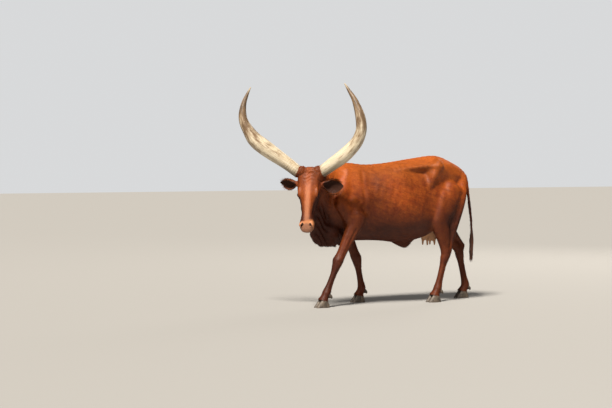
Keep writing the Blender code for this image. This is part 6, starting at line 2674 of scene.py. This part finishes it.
@dataclass
class Switch:
    """Long locks at the end of the tail."""

    cow: Cow
    locks: int = 210
    seed: int = 11
    golden_angle: float = 2.399963
    map_side: int = 12

    def build(self, material: bpy.types.Material) -> None:
        """Hang the locks from the last third of the tail.

        Args:
            material: what they are made of.
        """
        random = np.random.default_rng(self.seed)
        tail = smooth_rows(self.cow.tail.line, 12)
        tail = tail[tail[:, 2] < self.cow.tail.switch_top + 0.015]
        locks = []
        for index in range(self.locks):
            share = (index / self.locks) ** 0.8
            row = tail[int(share * (len(tail) - 1))]
            angle = index * self.golden_angle + random.uniform(-0.3, 0.3)
            out = np.array((math.cos(angle), math.sin(angle), 0.0))
            end = self.cow.tail.switch_bottom + random.uniform(0.0, 0.085) + 0.03 * (1 - share)
            drop = row[2] - end
            sway = random.normal(0.0, 0.006, 2)
            rows = []
            for t in np.linspace(0.0, 1.0, 7):
                swell = math.sin(math.pi * min(1.0, t * 1.15))
                spread = row[3] * 0.55 + 0.012 * swell * random.uniform(0.7, 1.2)
                curl = 0.0035 * math.sin(t * 7 + index)
                middle = row[:3] + out * spread * (1 - 0.85 * t ** 2)
                middle = middle + np.array((sway[0] + 0.004, sway[1], 0.0)) * t * t
                middle = middle - np.array((0.0, 0.0, drop * t))
                middle = middle + np.array((curl, -curl, 0.0)) * t
                wide = 0.0034 * math.sin(math.pi * (0.16 + 0.8 * t)) + 0.0004
                rows.append((*middle, wide, wide * 0.36, wide * 0.36))
            locks.append(loft(rows, lateral=(-out[1], out[0], 0.0), sides=5, steps=2, rounded=False))
        piece = new_piece("tail_switch_locks", locks)
        counts = [len(lock[0]) for lock in locks]
        tone = np.repeat(random.uniform(0.0, 1.0, len(locks)), counts)
        keep_values(piece, "tone", tone)
        self.cow.to_frame(piece)
        self.map_roots(piece, counts)
        dress(piece, material, Slot.HAIR, "tail_switch")

    def map_roots(self, piece: Thing, counts: list[int]) -> None:
        """Give each lock a small patch of its own on the bake map.

        Args:
            piece: all the locks.
            counts: points in each lock.
        """
        corners = corner_points(piece.data)
        lock = np.repeat(np.arange(len(counts)), counts)[corners]
        points = Sculpt(piece).points[:, (0, 2)]
        grid = np.stack([lock % self.map_side, lock // self.map_side], axis=1) / self.map_side
        flat = grid * 0.9 + 0.02 + (points[corners] - points.min(axis=0)) * 0.15
        piece.data.uv_layers.new(name=BAKE_MAP).data.foreach_set("uv", flat.astype(np.float32).ravel())


@dataclass
class Studio:
    """Floor, lights and the camera at the photograph's viewing angle."""

    cow: Cow
    azimuth: float = math.radians(150)
    distance: float = 15.0
    height: float = 1.357
    focal_pixels: float = 1665.0
    image: tuple[int, int] = (612, 408)
    centre: tuple[float, float] = (388.0, 152.0)
    sensor: float = 36.0
    key_angle: float = math.radians(15)
    sky_light: float = 0.15
    sky_seen: float = 0.8
    sky_colour: Row = (0.86, 0.87, 0.88)
    floor_half: float = 40.0
    aim: Row = (0.0, 0.0, 0.9)

    def build(self) -> None:
        """Set up everything round the cow."""
        self.add_floor()
        self.add_camera()
        key = self.add_light("SUN", "key", (4.2, 3.6, 8.8), 6.8, (1.0, 0.94, 0.85))
        key.angle = self.key_angle
        for name, place, size, power, colour in (
                ("fill", (1.5, 9.5, 3.0), 5.0, 40.0, (0.97, 0.97, 1.0)),
                ("rim", (-6.5, -4.5, 4.6), 3.0, 140.0, (1.0, 0.94, 0.86))):
            light = self.add_light("AREA", name, place, power, colour)
            light.shape, light.size = "SQUARE", size
        self.add_world()
        settings = bpy.context.scene.view_settings
        settings.view_transform = "Standard"
        settings.look = "None"

    def add_world(self) -> None:
        """Even light from all round, in front of a pale backdrop."""
        world = bpy.data.worlds.new("studio")
        bpy.context.scene.world = world
        world.use_nodes = True
        tree = Tree(world.node_tree)
        seen = tree.add("ShaderNodeLightPath").outputs["Is Camera Ray"]
        strength = tree.add("ShaderNodeMix", {0: seen, 2: self.sky_light, 3: self.sky_seen}).outputs[0]
        back = world.node_tree.nodes["Background"].inputs
        tree.feed(back[0], (*self.sky_colour, 1.0))
        tree.feed(back[1], strength)

    def add_light(self, kind: str, name: str, place: Row, power: float, colour: Row) -> bpy.types.Light:
        """Light of a kind that faces the cow.

        Args:
            kind: Blender's name of the light type.
            name: the light's name.
            place: where it stands.
            power: its strength.
            colour: its colour.

        Returns:
            The light.
        """
        light = bpy.data.lights.new(name, kind)
        light.energy = power
        light.color = colour
        thing = linked(name, light)
        thing.location = Vector(place)
        thing.rotation_euler = (Vector(self.aim) - Vector(place)).to_track_quat("-Z", "Y").to_euler()
        return light

    def add_floor(self) -> None:
        """Wide pale floor under the cow."""
        half = self.floor_half
        corners = ((-half, -half, 0), (half, -half, 0), (half, half, 0), (-half, half, 0))
        floor = new_piece("floor", [(np.array(corners), [(0, 1, 2, 3)])])
        floor.data.materials.append(FloorFinish().material())

    def add_camera(self) -> None:
        """Camera where the photograph was taken from, with its framing."""
        camera = bpy.data.cameras.new("camera")
        thing = linked("camera", camera)
        place = Vector((self.distance * math.sin(self.azimuth), -self.distance * math.cos(self.azimuth),
                        self.height))
        camera.sensor_width = self.sensor
        camera.lens = self.sensor * self.focal_pixels / self.image[0]
        yaw = math.atan((self.centre[0] - self.image[0] / 2) / self.focal_pixels)
        pitch = math.atan((self.centre[1] - self.image[1] / 2) / self.focal_pixels)
        look = Matrix.Rotation(yaw, 3, "Z") @ -Vector((place.x, place.y, 0.0)).normalized()
        look = look * math.cos(pitch) + Vector((0.0, 0.0, math.sin(pitch)))
        thing.location = place + self.cow.shift
        thing.rotation_euler = look.to_track_quat("-Z", "Y").to_euler()
        bpy.context.scene.camera = thing


FLESH = ("torso", "neck", "head", "tail", "leg_fore_left", "leg_fore_right", "leg_hind_left",
         "leg_hind_right", "ear_left", "ear_right")


def main() -> None:
    """Build the cow and its studio, and note the sizes before and after."""
    logging.basicConfig(level=logging.INFO, format="%(name)s: %(message)s")
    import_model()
    cow = Cow()
    cow.stand_on_frame()
    skin = Skin(cow)
    piece = skin.build()
    hide = HideFinish()
    cow.to_frame(piece)
    Coat(skin, TuftTree(), {kind: tuft_shape(kind) for kind in TuftKind}, hide.coat()).build()
    dress(piece, hide.skin(), Slot.COAT, *FLESH)
    piece.data.attributes.remove(piece.data.attributes["lie"])
    Horns(cow).build(HornFinish().material())
    Eyes(cow).build(EyeFinish().material())
    Claws(cow).build(ClawFinish().material())
    long_hair = LongHairFinish().material()
    Switch(cow).build(long_hair)
    Lashes(cow).build(long_hair)
    Studio(cow).build()


if __name__ == "__main__":
    main()
